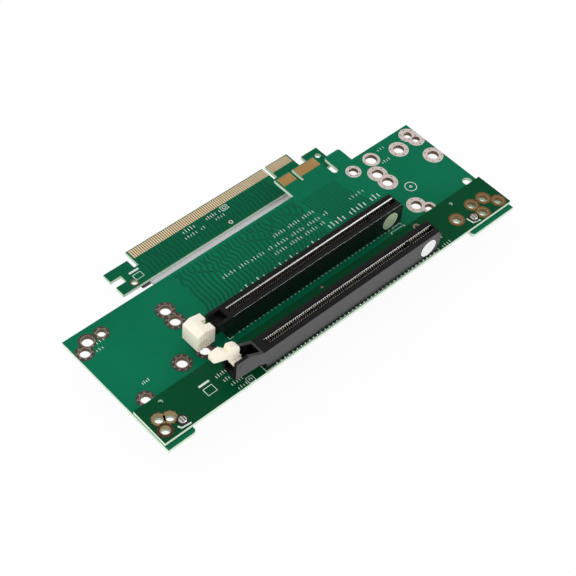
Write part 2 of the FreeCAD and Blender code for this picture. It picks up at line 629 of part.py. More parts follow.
def eyelet_group(label, holes):
    """Gilded barrels that line the strip board's end holes, each with a rim on top."""
    low = size("strip_gap")
    top = size("strip_gap + board_thick")
    rims = []
    for across, up, radius in holes:
        wide, deep = spot(across, up)
        base = FreeCAD.Vector(size(f"{wide} - datum_across"), size(f"{deep} - {DATUM_UP}"), low)
        crown = FreeCAD.Vector(base.x, base.y, top)
        barrel = Part.makeCylinder(radius + size("eyelet_wall"), top - low, base)
        rim = Part.makeCylinder(radius + size("eyelet_rim"), size("rim_thick"), crown)
        bore = Part.makeCylinder(radius, top - low + size("rim_thick"), base)
        rims.append(barrel.fuse(rim).cut(bore).removeSplitter())
    feature = doc.addObject("Part::Feature", label)
    feature.Label = label
    feature.Shape = Part.makeCompound(rims)
    return feature


def socket_label(label, middle, seat):
    """Blank round paper label on the front of a socket."""
    feature = doc.addObject("Part::Cylinder", label)
    feature.Label = label
    feature.setExpression("Radius", bound("label_radius"))
    feature.setExpression("Height", bound("label_thick"))
    feature.Placement = FreeCAD.Placement(FreeCAD.Vector(), FreeCAD.Rotation(FreeCAD.Vector(1, 0, 0), 90))
    place(feature, "key_across + label_past_key", f"{middle} - socket_wide / 2", f"{seat} + label_up")
    return feature


# ---- the whole card -----------------------------------------------------------------

STRIP_TOP = "strip_gap + board_thick"
CARD_FACE = "-card_drop"
CARD_BACK = "-card_drop - board_thick"

pieces = [
    main_board(),
    strip_board(),
    edge_card(),
    rear_socket(),
    front_socket(),
    rear_latch(),
    front_latch(),
    contact_row("rear_contacts_front", "rear_socket_mid", "0", -1),
    contact_row("rear_contacts_back", "rear_socket_mid", "0", 1),
    contact_row("front_contacts_front", "front_socket_mid", STRIP_TOP, -1),
    contact_row("front_contacts_back", "front_socket_mid", STRIP_TOP, 1),
    finger_row("tab_fingers_top", "tab_row", TAB_TIP, "tab_finger_long", "0"),
    finger_row("tab_fingers_bottom", "tab_row", TAB_TIP, "tab_finger_long",
               "-board_thick - finger_thick"),
    finger_row("card_fingers_top", "long_row", CARD_TIP, "card_finger_long", CARD_FACE),
    finger_row("card_fingers_bottom", "long_row", CARD_TIP, "card_finger_long",
               f"{CARD_BACK} - finger_thick"),
    ribbon_cable(),
    clamp_bar("main_clamp_bar", "board_deep - bar_in - bar_deep", "-board_thick"),
    clamp_bar("card_clamp_bar", CARD_FRONT, CARD_BACK),
    strip_post("left"),
    strip_post("right"),
    eyelet_group("eyelets_left", LEFT_EYELETS),
    eyelet_group("eyelets_right", RIGHT_EYELETS),
    socket_label("rear_label", "rear_socket_mid", "0"),
    socket_label("front_label", "front_socket_mid", STRIP_TOP),
]
doc.recompute()

for item in doc.Objects:
    if any(flag in item.State for flag in ("Invalid", "Error")):
        raise RuntimeError(f"{item.Label} failed to build: {item.State}")
for piece in pieces:
    if piece.Shape.isNull() or not piece.Shape.isValid():
        raise RuntimeError(f"{piece.Label} has no valid shape")

os.makedirs("parts", exist_ok=True)
for piece in pieces:
    piece.Shape.exportStep(f"parts/{piece.Label}.step")
    print(f"{piece.Label}: {len(piece.Shape.Solids)} solids, {piece.Shape.Volume:.1f} mm3")
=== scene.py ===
import functools
import math

import bmesh
import bpy
from bpy.props import FloatProperty, FloatVectorProperty, IntProperty, PointerProperty
from mathutils import Matrix, Vector


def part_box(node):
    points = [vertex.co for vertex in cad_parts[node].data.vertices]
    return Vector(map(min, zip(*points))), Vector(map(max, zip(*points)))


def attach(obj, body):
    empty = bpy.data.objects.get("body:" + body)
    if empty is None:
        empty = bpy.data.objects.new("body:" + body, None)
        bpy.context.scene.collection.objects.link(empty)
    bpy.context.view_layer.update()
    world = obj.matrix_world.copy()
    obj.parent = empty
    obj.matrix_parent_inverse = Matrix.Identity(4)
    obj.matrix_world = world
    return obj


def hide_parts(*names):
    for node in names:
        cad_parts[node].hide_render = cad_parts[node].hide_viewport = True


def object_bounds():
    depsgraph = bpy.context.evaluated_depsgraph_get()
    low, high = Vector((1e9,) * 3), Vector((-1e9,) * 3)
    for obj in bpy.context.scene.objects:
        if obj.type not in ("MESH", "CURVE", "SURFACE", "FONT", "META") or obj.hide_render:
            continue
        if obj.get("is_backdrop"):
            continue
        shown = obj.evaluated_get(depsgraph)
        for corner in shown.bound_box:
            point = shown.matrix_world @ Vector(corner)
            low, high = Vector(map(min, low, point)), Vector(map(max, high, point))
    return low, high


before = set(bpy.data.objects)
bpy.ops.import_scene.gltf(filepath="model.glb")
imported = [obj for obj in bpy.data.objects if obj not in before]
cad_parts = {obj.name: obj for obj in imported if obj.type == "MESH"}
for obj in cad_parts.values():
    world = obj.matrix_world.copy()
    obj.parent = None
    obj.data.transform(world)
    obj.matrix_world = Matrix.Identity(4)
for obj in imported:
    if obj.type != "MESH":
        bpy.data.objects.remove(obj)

bl_info = {
    "name": "Riser card finishes",
    "version": (1, 0, 0),
    "blender": (4, 5, 0),
    "location": "View3D > Sidebar > Riser card",
    "description": "Dresses a riser card with its tracks, pads, solder, sockets, latches and cable",
    "category": "Object",
}

MM = 0.001
CARD, REAR_LATCH, FRONT_LATCH = "card", "rear_latch_body", "front_latch_body"
CORNER = Vector(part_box("main_board")[0])
BOARD_LEFT, _, BOARD_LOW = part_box("main_board")[0]
BOARD_RIGHT, _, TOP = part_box("main_board")[1]
STRIP_LOW, STRIP_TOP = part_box("strip_board")[0][2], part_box("strip_board")[1][2]
CARD_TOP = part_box("edge_card")[1][2]
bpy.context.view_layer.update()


def on_board(across, up, high=0.0):
    """A point given in millimetres from the main board's front left corner, in metres."""
    return Vector((CORNER.x + across * MM, CORNER.y + up * MM, TOP + high * MM))


def level_mm(metres):
    """A height in metres as millimetres above the main board's top face."""
    return (metres - TOP) / MM


def linear(red, green, blue):
    """A screen colour, 0 to 255, as a linear one with full alpha."""
    def one(value):
        value /= 255
        return value / 12.92 if value <= 0.04045 else ((value + 0.055) / 1.055) ** 2.4
    return (one(red), one(green), one(blue), 1.0)


def shaded(tone, share):
    """The tone made darker or lighter by a share, at full alpha."""
    return tuple(min(1.0, part * share) for part in tone[:3]) + (1.0,)


# ---- settings that a user would change ----------------------------------------------

def colour(name, description, red, green, blue):
    """A colour that a user would change, given as a screen colour."""
    return FloatVectorProperty(name=name, description=description, subtype="COLOR", size=4,
                               min=0.0, max=1.0, default=linear(red, green, blue))


def length(name, description, millimetres):
    """A length that a user would change."""
    return FloatProperty(name=name, description=description, default=millimetres * MM,
                         unit="LENGTH", precision=5, min=0.0)


class RiserBoardSettings(bpy.types.PropertyGroup):
    mask: colour("Solder mask", "Mask over the main board", 0, 112, 78)
    strip_mask: colour("Strip mask", "Mask over the strip board", 0, 74, 42)
    card_mask: colour("Card mask", "Mask over the edge card", 0, 98, 64)
    laminate: colour("Laminate", "Bare glass laminate at the sawn edges", 224, 246, 224)
    gloss: FloatProperty(name="Roughness", description="Roughness of the mask", default=0.3,
                         min=0.05, max=1.0)


class RiserTrackSettings(bpy.types.PropertyGroup):
    wide: length("Width", "Width of one track", 0.95)
    tall: length("Height", "Height of a track under its mask", 0.02)
    pitch: length("Pitch", "Distance between neighbouring tracks", 2.0)
    swing: length("Swing", "Sideways reach of a meander", 0.5)
    tint: colour("Tint", "Mask where it covers a track moat", 0, 86, 60)
    card_tint: colour("Card tint", "The same on the edge card", 0, 76, 58)


class RiserPadSettings(bpy.types.PropertyGroup):
    pale: colour("Pale plating", "Tinned rings on the right", 222, 208, 202)
    dull: colour("Dull plating", "Rings on the left", 84, 74, 68)
    bronze: colour("Bronze plating", "Rings of the strip board", 142, 104, 54)
    rim: colour("Rim", "Worn inner rims of the rings", 158, 142, 122)
    tall: length("Height", "Height of a ring over the mask", 0.04)
    via: length("Via radius", "Radius of the small vias of a ring", 0.42)


class RiserSolderSettings(bpy.types.PropertyGroup):
    tail_pitch: length("Tail pitch", "Distance between solder tails of one row", 2.0)
    joint: length("Joint radius", "Radius of a solder joint", 0.55)
    tin: colour("Tin", "Bright solder", 214, 214, 208)


class RiserSocketSettings(bpy.types.PropertyGroup):
    housing: colour("Housing", "Moulded nylon", 16, 16, 17)
    contact: colour("Contact", "Contact springs", 214, 204, 186)
    lip: length("Lip", "Height of the polished lip along a mouth", 0.42)
    gloss: FloatProperty(name="Roughness", description="Roughness of the housings", default=0.34,
                         min=0.05, max=1.0)


class RiserLatchSettings(bpy.types.PropertyGroup):
    ivory: colour("Ivory", "Moulded latch", 255, 250, 238)
    edge: length("Edge radius", "Radius of the latch edges", 0.35)
    rib_pitch: length("Rib pitch", "Distance between thumb ribs", 0.9)
    ribs: IntProperty(name="Ribs", description="Thumb ribs on the broad clip", default=6, min=0)


class RiserCableSettings(bpy.types.PropertyGroup):
    wires: IntProperty(name="Wires", description="Parallel wires of the ribbon", default=68, min=2)
    skin: colour("Skin", "Skin of the ribbon", 226, 222, 228)


class RiserMarkSettings(bpy.types.PropertyGroup):
    ink: colour("Ink", "White printing on the mask", 226, 240, 230)
    wide: length("Line width", "Width of a printed line", 0.3)


class RiserStageSettings(bpy.types.PropertyGroup):
    sky: FloatProperty(name="Sky", description="Strength of the even light", default=0.96, min=0.0)
    lamp: FloatProperty(name="Lamp", description="Power of the soft lamp", default=1.6, min=0.0,
                        unit="POWER")
    fill: FloatProperty(name="Fill", description="Power of the low lamp in front", default=2.2,
                        min=0.0, unit="POWER")
    shadow: FloatProperty(name="Shadow", description="How much of the shadow the floor shows",
                          default=0.05, min=0.0, max=1.0)
    ceiling: FloatProperty(name="Ceiling", description="Brightness overhead in reflections",
                           default=0.22, min=0.0)
    strip: FloatProperty(name="Strip", description="Power of the reflected strip lamp",
                         default=9.0, min=0.0, unit="POWER")


# ---- node trees ---------------------------------------------------------------------

class Term:
    """A socket of a shader tree that ordinary arithmetic works on."""

    def __init__(self, finish, socket):
        self.finish = finish
        self.socket = socket

    def maths(self, operation, *values, clamp=False):
        """A Math node on Terms or plain numbers."""
        settings = {"operation": operation, "use_clamp": clamp}
        return Term(self.finish, self.finish.out("ShaderNodeMath", settings, *values))

    def __add__(self, other):
        return self.maths("ADD", self, other)

    __radd__ = __add__

    def __sub__(self, other):
        return self.maths("SUBTRACT", self, other)

    def __rsub__(self, other):
        return self.maths("SUBTRACT", other, self)

    def __mul__(self, other):
        return self.maths("MULTIPLY", self, other)

    __rmul__ = __mul__

    def __lt__(self, other):
        return self.maths("LESS_THAN", self, other)

    def __gt__(self, other):
        return self.maths("GREATER_THAN", self, other)

    def __abs__(self):
        return self.maths("ABSOLUTE", self)

    def wave(self):
        return self.maths("SINE", self)

    def root(self):
        return self.maths("SQRT", self)

    def clamped(self):
        return self.maths("ADD", self, 0.0, clamp=True)

    def ramp(self, low, high):
        """0 below low, 1 above high, straight between."""
        return ((self - low) * (1.0 / (high - low))).clamped()


class Nodes:
    """A node tree, and the one way in which nodes are added to it."""

    def __init__(self, tree):
        self.tree = tree

    def feed(self, socket, value):
        """Link a Term or another node's socket, or set a plain value."""
        value = value.socket if isinstance(value, Term) else value
        if isinstance(value, bpy.types.NodeSocket):
            self.tree.links.new(value, socket)
        else:
            socket.default_value = value

    def node(self, kind, settings=(), *values, **sockets):
        """A node of any type: settings first, then its sockets in order or by name."""
        node = self.tree.nodes.new(kind)
        for key, value in dict(settings).items():
            setattr(node, key, value)
        for socket, value in zip(node.inputs, values):
            self.feed(socket, value)
        for key, value in sockets.items():
            self.feed(node.inputs[key.replace("_", " ")], value)
        return node

    def out(self, kind, settings=(), *values, **sockets):
        """The first output of such a node."""
        return self.node(kind, settings, *values, **sockets).outputs[0]

    def any_ray(self, *kinds):
        """1 for a ray of one of the kinds, such as Camera, and 0 for any other."""
        path = self.node("ShaderNodeLightPath")
        first, *rest = [path.outputs[f"Is {kind} Ray"] for kind in kinds]
        for ray in rest:
            first = self.out("ShaderNodeMath", {"operation": "MAXIMUM"}, first, ray)
        return first


class Finish(Nodes):
    """A material, with the nodes that vary it over the surface."""

    def __init__(self, name, tone, roughness, metallic=0.0, specular=0.5):
        material = bpy.data.materials.new(name)
        material.use_nodes = True
        super().__init__(material.node_tree)
        FINISHES[name] = material
        self.tone = tuple(tone)
        self.shader = self.tree.nodes["Principled BSDF"]
        for key, value in (("Base Color", self.tone), ("Roughness", roughness),
                           ("Metallic", metallic), ("Specular IOR Level", specular)):
            self.shader.inputs[key].default_value = value

    @functools.cached_property
    def place(self):
        return self.node("ShaderNodeTexCoord")

    def parts(self, kind):
        """The x, y and z of Object, the place, or of Normal, the way it faces."""
        node = self.node("ShaderNodeSeparateXYZ", (), self.place.outputs[kind])
        return [Term(self, output) for output in node.outputs]

    def axes(self):
        """The object's x, y and z in millimetres."""
        return [part * 1000.0 for part in self.parts("Object")]

    def slope(self):
        """How far the surface faces up or down, 0 on a side wall and 1 on a face."""
        return abs(self.parts("Normal")[2])

    def noise(self, scale, detail=3.0):
        return Term(self, self.out("ShaderNodeTexNoise", Vector=self.place.outputs["Object"],
                                   Scale=scale, Detail=detail))

    def mix(self, mask, first, second):
        """Colour first where mask is 0 and second where it is 1."""
        node = self.node("ShaderNodeMix", {"data_type": "RGBA"}, mask)
        self.feed(node.inputs[6], first)
        self.feed(node.inputs[7], second)
        return Term(self, node.outputs[2])

    def paint(self, value):
        self.feed(self.shader.inputs["Base Color"], value)

    def cloud(self, share, scale, detail=3.0):
        """Paint the tone in clouds, between a share of it and the whole."""
        self.paint(self.mix(self.noise(scale, detail), shaded(self.tone, share), self.tone))

    def rough(self, value):
        self.feed(self.shader.inputs["Roughness"], value)

    def bump(self, height, strength, distance):
        normal = self.out("ShaderNodeBump", Strength=strength, Distance=distance, Height=height)
        self.feed(self.shader.inputs["Normal"], normal)


class Builder(Nodes):
    """A Geometry Nodes tree whose named inputs are set on the modifier."""

    def __init__(self, name):
        super().__init__(bpy.data.node_groups.new(name, "GeometryNodeTree"))
        for way in ("INPUT", "OUTPUT"):
            self.tree.interface.new_socket("Geometry", in_out=way,
                                           socket_type="NodeSocketGeometry")
        self.entry = self.node("NodeGroupInput")
        self.exit = self.node("NodeGroupOutput")

    def input(self, name, kind="NodeSocketFloat"):
        """A named input of the tree."""
        self.tree.interface.new_socket(name, in_out="INPUT", socket_type=kind)
        return self.entry.outputs[name]

    def rounded(self, steps):
        """The seed's paths, with their corners rounded."""
        line = self.out("GeometryNodeMeshToCurve", Mesh=self.entry.outputs[0])
        return self.out("GeometryNodeFilletCurve", {"mode": "POLY"}, Curve=line,
                        Count=steps, Radius=self.input("Corner"))

    def row(self, shape):
        """The shape repeated in a straight row."""
        line = self.out("GeometryNodeMeshLine", {"mode": "OFFSET"},
                        Count=self.input("Count", "NodeSocketInt"),
                        Offset=self.input("Step", "NodeSocketVector"))
        return self.out("GeometryNodeInstanceOnPoints", Points=line, Instance=shape)

    def finish(self, geometry):
        """Close the tree with plain geometry in one material."""
        real = self.out("GeometryNodeRealizeInstances", Geometry=geometry)
        skin = self.out("GeometryNodeSetMaterial", Geometry=real,
                        Material=self.input("Finish", "NodeSocketMaterial"))
        self.feed(self.exit.inputs[0], skin)
        return self.tree


@functools.cache
def bead_tree():
    """Low domes of one size on loose points."""
    tree = Builder("beads")
    dome = tree.out("GeometryNodeMeshUVSphere", Segments=10, Rings=6, Radius=1.0)
    flat = tree.out("ShaderNodeCombineXYZ", X=1.0, Y=1.0, Z=tree.input("Flatness"))
    shape = tree.out("GeometryNodeTransform", Geometry=dome, Scale=flat)
    spread = tree.out("GeometryNodeInstanceOnPoints", Points=tree.entry.outputs[0],
                      Instance=shape, Scale=tree.input("Size"))
    return tree.finish(spread)


@functools.cache
def strip_tree():
    """Flat strips of one width and height along paths, with softened corners."""
    tree = Builder("strips")
    upright = tree.out("GeometryNodeSetCurveNormal", {"mode": "Z_UP"}, Curve=tree.rounded(3))
    section = tree.out("GeometryNodeCurvePrimitiveQuadrilateral", Width=tree.input("Width"),
                       Height=tree.input("Height"))
    return tree.finish(tree.out("GeometryNodeCurveToMesh", Curve=upright,
                                Profile_Curve=section, Fill_Caps=True))


@functools.cache
def row_tree():
    """The seed repeated in a straight row."""
    tree = Builder("row")
    return tree.finish(tree.row(tree.entry.outputs[0]))


@functools.cache
def wire_tree():
    """Round wires side by side along one path."""
    tree = Builder("wires")
    section = tree.out("GeometryNodeCurvePrimitiveCircle", Resolution=8,
                       Radius=tree.input("Radius"))
    wire = tree.out("GeometryNodeCurveToMesh", Curve=tree.rounded(6), Profile_Curve=section,
                    Fill_Caps=True)
    return tree.finish(tree.row(wire))


def seed_paths(name, paths):
    """A mesh of open paths in metres; a path of one point is a loose point."""
    points, edges = [], []
    for path in paths:
        start = len(points)
        points += [tuple(spot) for spot in path]
        edges += [(start + step, start + step + 1) for step in range(len(path) - 1)]
    mesh = bpy.data.meshes.new(name)
    mesh.from_pydata(points, edges, [])
    return mesh


def worked_out(made):
    """The plain mesh of an object whose modifiers are still live."""
    bpy.context.view_layer.update()
    ready = made.evaluated_get(bpy.context.evaluated_depsgraph_get())
    return bpy.data.meshes.new_from_object(ready)


def grown(name, seed, tree, finish, smooth=False, **values):
    """The plain mesh that a tree makes of a seed mesh."""
    holder = bpy.data.objects.new(f"{name}_seed", seed)
    bpy.context.scene.collection.objects.link(holder)
    modifier = holder.modifiers.new("grow", "NODES")
    modifier.node_group = tree
    sockets = {item.name: item.identifier for item in tree.interface.items_tree
               if item.item_type == "SOCKET" and item.in_out == "INPUT"}
    modifier[sockets["Finish"]] = finish_for(finish)
    for key, value in values.items():
        modifier[sockets[key]] = value
    mesh = worked_out(holder)
    bpy.data.objects.remove(holder, do_unlink=True)
    return piece(name, mesh, finish, smooth)


# ---- shapes shared by several pieces ------------------------------------------------

def coat(mesh, finish, smooth=False):
    """One finish on every face of a mesh."""
    mesh.materials.clear()
    mesh.materials.append(finish_for(finish))
    for face in mesh.polygons:
        face.use_smooth = smooth
        face.material_index = 0


def piece(name, mesh, finish, smooth=False):
    """A finished object at the origin with one material."""
    mesh.name = name
    made = bpy.data.objects.new(name, mesh)
    bpy.context.scene.collection.objects.link(made)
    coat(mesh, finish, smooth)
    return made


def settle(made, body=CARD, replaces=()):
    """Fix a finished piece to its body and hide the CAD parts that it replaces."""
    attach(made, body)
    if replaces:
        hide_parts(*replaces)


def dress(node, finish):
    """Give a CAD node a better material."""
    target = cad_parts[node]
    if not target.material_slots:
        target.data.materials.append(finish_for(finish))
    for place in target.material_slots:
        place.material = finish_for(finish)


def box_into(form, low, high):
    """An upright box between two corners in metres, added to a bmesh."""
    centre = (Vector(low) + Vector(high)) / 2
    span = Vector(high) - Vector(low)
    matrix = Matrix.Translation(centre) @ Matrix.Diagonal((*span, 1.0))
    bmesh.ops.create_cube(form, size=1.0, matrix=matrix)


def disc_into(form, centre, radius, low, high, sides):
    """An upright cylinder in metres, added to a bmesh."""
    matrix = Matrix.Translation((centre[0], centre[1], (low + high) / 2))
    bmesh.ops.create_cone(form, cap_ends=True, cap_tris=False, segments=sides,
                          radius1=radius, radius2=radius, depth=high - low, matrix=matrix)


def turn_into(form, centre, profile, sides):
    """A closed ring turned about an upright axis; profile is (radius, height) in metres."""
    rings = []
    for radius, height in profile:
        angles = [2 * math.pi * step / sides for step in range(sides)]
        rings.append([form.verts.new((centre[0] + radius * math.cos(angle),
                                      centre[1] + radius * math.sin(angle), height))
                      for angle in angles])
    for lower, upper in zip(rings, rings[1:] + rings[:1]):
        for step in range(sides):
            after = (step + 1) % sides
            form.faces.new((lower[step], lower[after], upper[after], upper[step]))


def extrude_into(form, section, start, end):
    """A closed prism along x; section is (y, z) in metres."""
    rings = [[form.verts.new((across, up, high)) for up, high in section]
             for across in (start, end)]
    count = len(section)
    for step in range(count):
        after = (step + 1) % count
        form.faces.new((rings[0][step], rings[0][after], rings[1][after], rings[1][step]))
    form.faces.new(rings[0][::-1])
    form.faces.new(rings[1])


def mesh_of(form, name, outward=True):
    """The mesh of a bmesh, with its faces turned outwards unless they already are."""
    if outward:
        bmesh.ops.recalc_face_normals(form, faces=form.faces)
    mesh = bpy.data.meshes.new(name)
    form.to_mesh(mesh)
    form.free()
    return mesh


def cad_form(node):
    """A copy of a CAD node's mesh with its doubles merged, as a bmesh."""
    form = bmesh.new()
    form.from_mesh(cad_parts[node].data)
    bmesh.ops.remove_doubles(form, verts=form.verts, dist=DOUBLES)
    return form


def make_plain(made, modifier):
    """Replace the object's mesh with what its modifier makes of it."""
    old, mesh = made.data, worked_out(made)
    made.modifiers.remove(modifier)
    made.data = mesh
    bpy.data.meshes.remove(old)


def cut(target, cutter):
    """Take the cutter's mesh out of the target's, worked out exactly."""
    modifier = target.modifiers.new("cut", "BOOLEAN")
    modifier.operation = "DIFFERENCE"
    modifier.solver = "EXACT"
    modifier.object = cutter
    make_plain(target, modifier)


def join_meshes(name, objects, finish):
    """One object made of several, which are removed."""
    form = bmesh.new()
    for item in objects:
        form.from_mesh(item.data)
        bpy.data.objects.remove(item, do_unlink=True)
    return piece(name, mesh_of(form, name, outward=False), finish)


def refined(node, name, finish, edge):
    """A copy of a CAD node's mesh with its edges rounded."""
    form = cad_form(node)
    bmesh.ops.dissolve_limit(form, angle_limit=math.radians(1), verts=form.verts,
                             edges=form.edges)
    made = piece(name, mesh_of(form, name), finish)
    bevel = made.modifiers.new("edges", "BEVEL")
    bevel.width = edge
    bevel.segments = 2
    bevel.limit_method = "ANGLE"
    bevel.angle_limit = math.radians(35)
    make_plain(made, bevel)
    for face in made.data.polygons:
        face.use_smooth = True
    made.data.set_sharp_from_angle(angle=SHARP_ANGLE)
    return made


# ---- finishes -----------------------------------------------------------------------

FINISHES = {}


def finish_for(name):
    """A material by its name; all are made when the first is asked for."""
    if not FINISHES:
        make_finishes(bpy.context.scene.riser_card)
    return FINISHES[name]


def solder_mask(name, mask, look, node, streak):
    """Glossy solder mask on a board's faces, bare laminate on its sawn edges."""
    gloss, laminate = look.board.gloss, tuple(look.board.laminate)
    finish = Finish(name, mask, gloss, specular=0.13)
    across, up, level = finish.axes()
    weave = (across * 5.2).wave() * (up * 5.2).wave()
    clouds = (finish.noise(26.0) * 1.4 - 0.2 + weave * 0.04).clamped()
    tone = finish.mix(clouds, shaded(mask, 0.8), shaded(mask, 1.14))
    layers = (finish.noise(90.0, 2.0) * 0.6 + 0.2).clamped()
    bare = finish.mix(layers, shaded(laminate, 0.86), laminate)
    low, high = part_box(node)
    skin = (level - (high[2] + low[2]) / 2 / MM) > 0.62
    edge = finish.mix(skin * 0.75, bare, linear(96, 104, 40))
    face = finish.slope().ramp(0.4, 0.6)
    finish.paint(finish.mix(face, edge, tone))
    finish.rough(finish.noise(420.0, 2.0) * 0.08 + face * (gloss - 0.62) + 0.58)
    finish.bump(finish.noise(streak, 2.0) + weave * 0.3, 0.06, 0.00004)


def track_mask(name, tint, scale, lift):
    """The mask where it covers tracks, with paler clouds."""
    finish = Finish(name, tint, 0.34, specular=0.16)
    finish.paint(finish.mix(finish.noise(scale), finish.tone, shaded(tint, lift)))


def plating(name, tone, roughness, metallic, worn):
    """Plated copper with faint clouds and scratches."""
    finish = Finish(name, tone, roughness, metallic)
    finish.cloud(worn, 300.0, 4.0)
    finish.rough(finish.noise(700.0) * 0.24 + (roughness - 0.1))
    finish.bump(finish.noise(900.0, 2.0), 0.12, 0.00003)


def gilt_fingers(name, node, bright, dark, edge):
    """Gilding that is bright along the middle of each finger, with painted shade darkening it at
    its edges.
    """
    finish = Finish(name, bright, 0.3, 0.15)
    across, up, _ = finish.axes()
    wipe = finish.noise(240.0)
    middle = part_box(node)[0][0] / MM + FINGER_HALF
    beat = ((across - middle) * (2 * math.pi / FINGER_PITCH) + math.pi / 2).wave()
    # painted shade: each finger is mixed towards the edge tone near its sides, as if shaded there
    rim = (beat * 1.3 + 0.9).clamped()
    finish.paint(finish.mix(rim, edge, finish.mix(wipe, dark, bright)))
    finish.rough(finish.noise(800.0) * 0.2 + 0.22)
    finish.bump((up * 40.0).wave() * 0.2 + wipe, 0.05, 0.00002)


def polished_lip(look):
    """The housing's nylon, bright along the mouths."""
    finish = Finish("polished_lip", look.sockets.housing, 0.16, specular=0.7)
    finish.cloud(0.8, 240.0)
    finish.rough(finish.noise(420.0, 2.0) * 0.08 + 0.13)


def socket_nylon(look):
    """Black moulded nylon with a fine grain."""
    finish = Finish("socket_nylon", look.sockets.housing, look.sockets.gloss)
    finish.cloud(0.7, 200.0, 4.0)
    finish.rough(finish.noise(500.0) * 0.14 + (look.sockets.gloss - 0.07))
    finish.bump(finish.noise(1500.0, 2.0), 0.14, 0.00003)


def contact_spring(look):
    """Spring metal, dull in spots."""
    finish = Finish("contact_spring", look.sockets.contact, 0.3, 0.5)
    spots = (finish.noise(400.0) * 0.3 + 0.7).clamped()
    finish.paint(finish.mix(spots, shaded(finish.tone, 0.25), finish.tone))
    finish.rough(finish.noise(900.0) * 0.2 + 0.2)


def latch_ivory(look):
    """Ivory plastic; the lever's pin, which is part of the same mesh, is dark."""
    finish = Finish("latch_ivory", look.latches.ivory, 0.42)
    red, green, blue, _ = finish.tone
    warm = (red * 0.95, green * 0.91, blue * 0.8, 1.0)
    ivory = finish.mix(finish.noise(60.0), warm, finish.tone)
    _, up, high = finish.axes()
    lever = Vector(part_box("front_latch")[0])
    pin = (up < lever.y / MM + 0.7) * (high < lever.z / MM + 4.4)
    finish.paint(finish.mix(pin, ivory, linear(38, 38, 40)))
    finish.rough(finish.noise(500.0) * 0.1 + 0.38)
    finish.bump(finish.noise(1300.0, 2.0), 0.1, 0.00003)


def ribbon_skin(look):
    """The pale skin of the ribbon's wires."""
    finish = Finish("ribbon_skin", look.cable.skin, 0.45)
    finish.cloud(0.86, 90.0)
    finish.rough(finish.noise(600.0) * 0.1 + 0.4)
    finish.bump(finish.noise(1500.0, 2.0), 0.08, 0.00003)


def bar_nylon():
    """The black nylon of both clamp bars."""
    finish = Finish("bar_nylon", linear(18, 20, 18), 0.45)
    finish.paint(finish.mix(finish.noise(200.0, 4.0), linear(14, 14, 14), linear(26, 26, 25)))
    finish.bump(finish.noise(1400.0, 2.0), 0.14, 0.00003)


def ink_white(look):
    """White print, a little thin in spots."""
    finish = Finish("ink_white", look.marks.ink, 0.6)
    finish.cloud(0.84, 900.0)
    finish.bump(finish.noise(1200.0), 0.1, 0.00002)


def label_paper(name, node, tone, print_tone):
    """Paper with a faint ring and plain bars printed on it."""
    finish = Finish(name, tone, 0.6)
    low, high = (Vector(corner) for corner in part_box(node))
    middle = (low + high) / 2 * 1000.0
    across, _, tall = finish.axes()
    from_x, from_z = across - middle.x, tall - middle.z
    reach = (from_x * from_x + from_z * from_z).root()
    ring = abs(reach - 3.1) < 0.16
    bars = ((tall * 6.0).wave() > 0.3) * (reach < 2.4)
    finish.paint(finish.mix((ring + bars * 0.8).clamped() * 0.75, tone, print_tone))
    finish.bump(finish.noise(900.0), 0.1, 0.00003)


def make_finishes(look):
    """Every material of the card."""
    for name, mask, node, streak in (("main_mask", look.board.mask, "main_board", 160.0),
                                     ("strip_mask", look.board.strip_mask, "strip_board", 120.0),
                                     ("card_mask", look.board.card_mask, "edge_card", 200.0)):
        solder_mask(name, mask, look, node, streak)
    track_mask("track_mask", look.tracks.tint, 120.0, 1.2)
    track_mask("card_track_mask", look.tracks.card_tint, 150.0, 1.25)
    # name, tone, roughness, share of metal, tone of the worn spots
    for values in (("pale_plating", look.pads.pale, 0.42, 0.1, 0.86),
                   ("dull_plating", look.pads.dull, 0.5, 0.25, 0.6),
                   ("bronze_plating", look.pads.bronze, 0.42, 0.25, 0.62),
                   ("rim_plating", look.pads.rim, 0.4, 0.25, 0.7),
                   ("barrel_plating", linear(112, 88, 66), 0.4, 0.4, 0.6),
                   ("gilt_rim", linear(172, 150, 104), 0.38, 0.3, 0.66),
                   ("dark_gilt", linear(80, 56, 28), 0.45, 0.25, 0.55),
                   # dark vias, and also the painted shade of the post slots and collars
                   ("dark_via", linear(66, 56, 50), 0.5, 0.5, 0.7),
                   ("worn_bead", linear(150, 142, 134), 0.4, 0.25, 0.6),
                   ("tin_solder", look.solder.tin, 0.3, 0.25, 0.75),
                   # painted shade: the rear socket's contact tips, darker than the same metal at
                   # the front
                   ("dim_tip", linear(96, 88, 78), 0.45, 0.4, 0.6),
                   # painted highlight: the front socket's contact tips, paler than the same metal
                   # at the rear
                   ("pale_tip", linear(246, 240, 228), 0.34, 0.1, 0.8),
                   # painted shade: the darker ivory of the grooves between the thumb ribs
                   ("groove_ivory", linear(190, 182, 158), 0.55, 0.0, 0.85)):
        plating(*values)
    gilt_fingers("finger_gold", "tab_fingers_top", linear(230, 170, 104),
                 linear(204, 142, 74), linear(120, 70, 22))
    gilt_fingers("card_gold", "card_fingers_top", linear(255, 232, 200),
                 linear(240, 204, 160), linear(150, 84, 36))
    polished_lip(look)
    socket_nylon(look)
    contact_spring(look)
    latch_ivory(look)
    ribbon_skin(look)
    bar_nylon()
    ink_white(look)
    label_paper("rear_paper", "rear_label", linear(234, 255, 218), linear(104, 150, 92))
    label_paper("front_paper", "front_label", linear(255, 255, 255), linear(176, 188, 186))


# ---- places and sizes, in millimetres from the main board's front left corner --------

def circle(across, up, radius, steps):
    """A closed round path."""
    angles = [2 * math.pi * step / steps for step in range(steps + 1)]
    return [(across + radius * math.cos(angle), up + radius * math.sin(angle))
            for angle in angles]


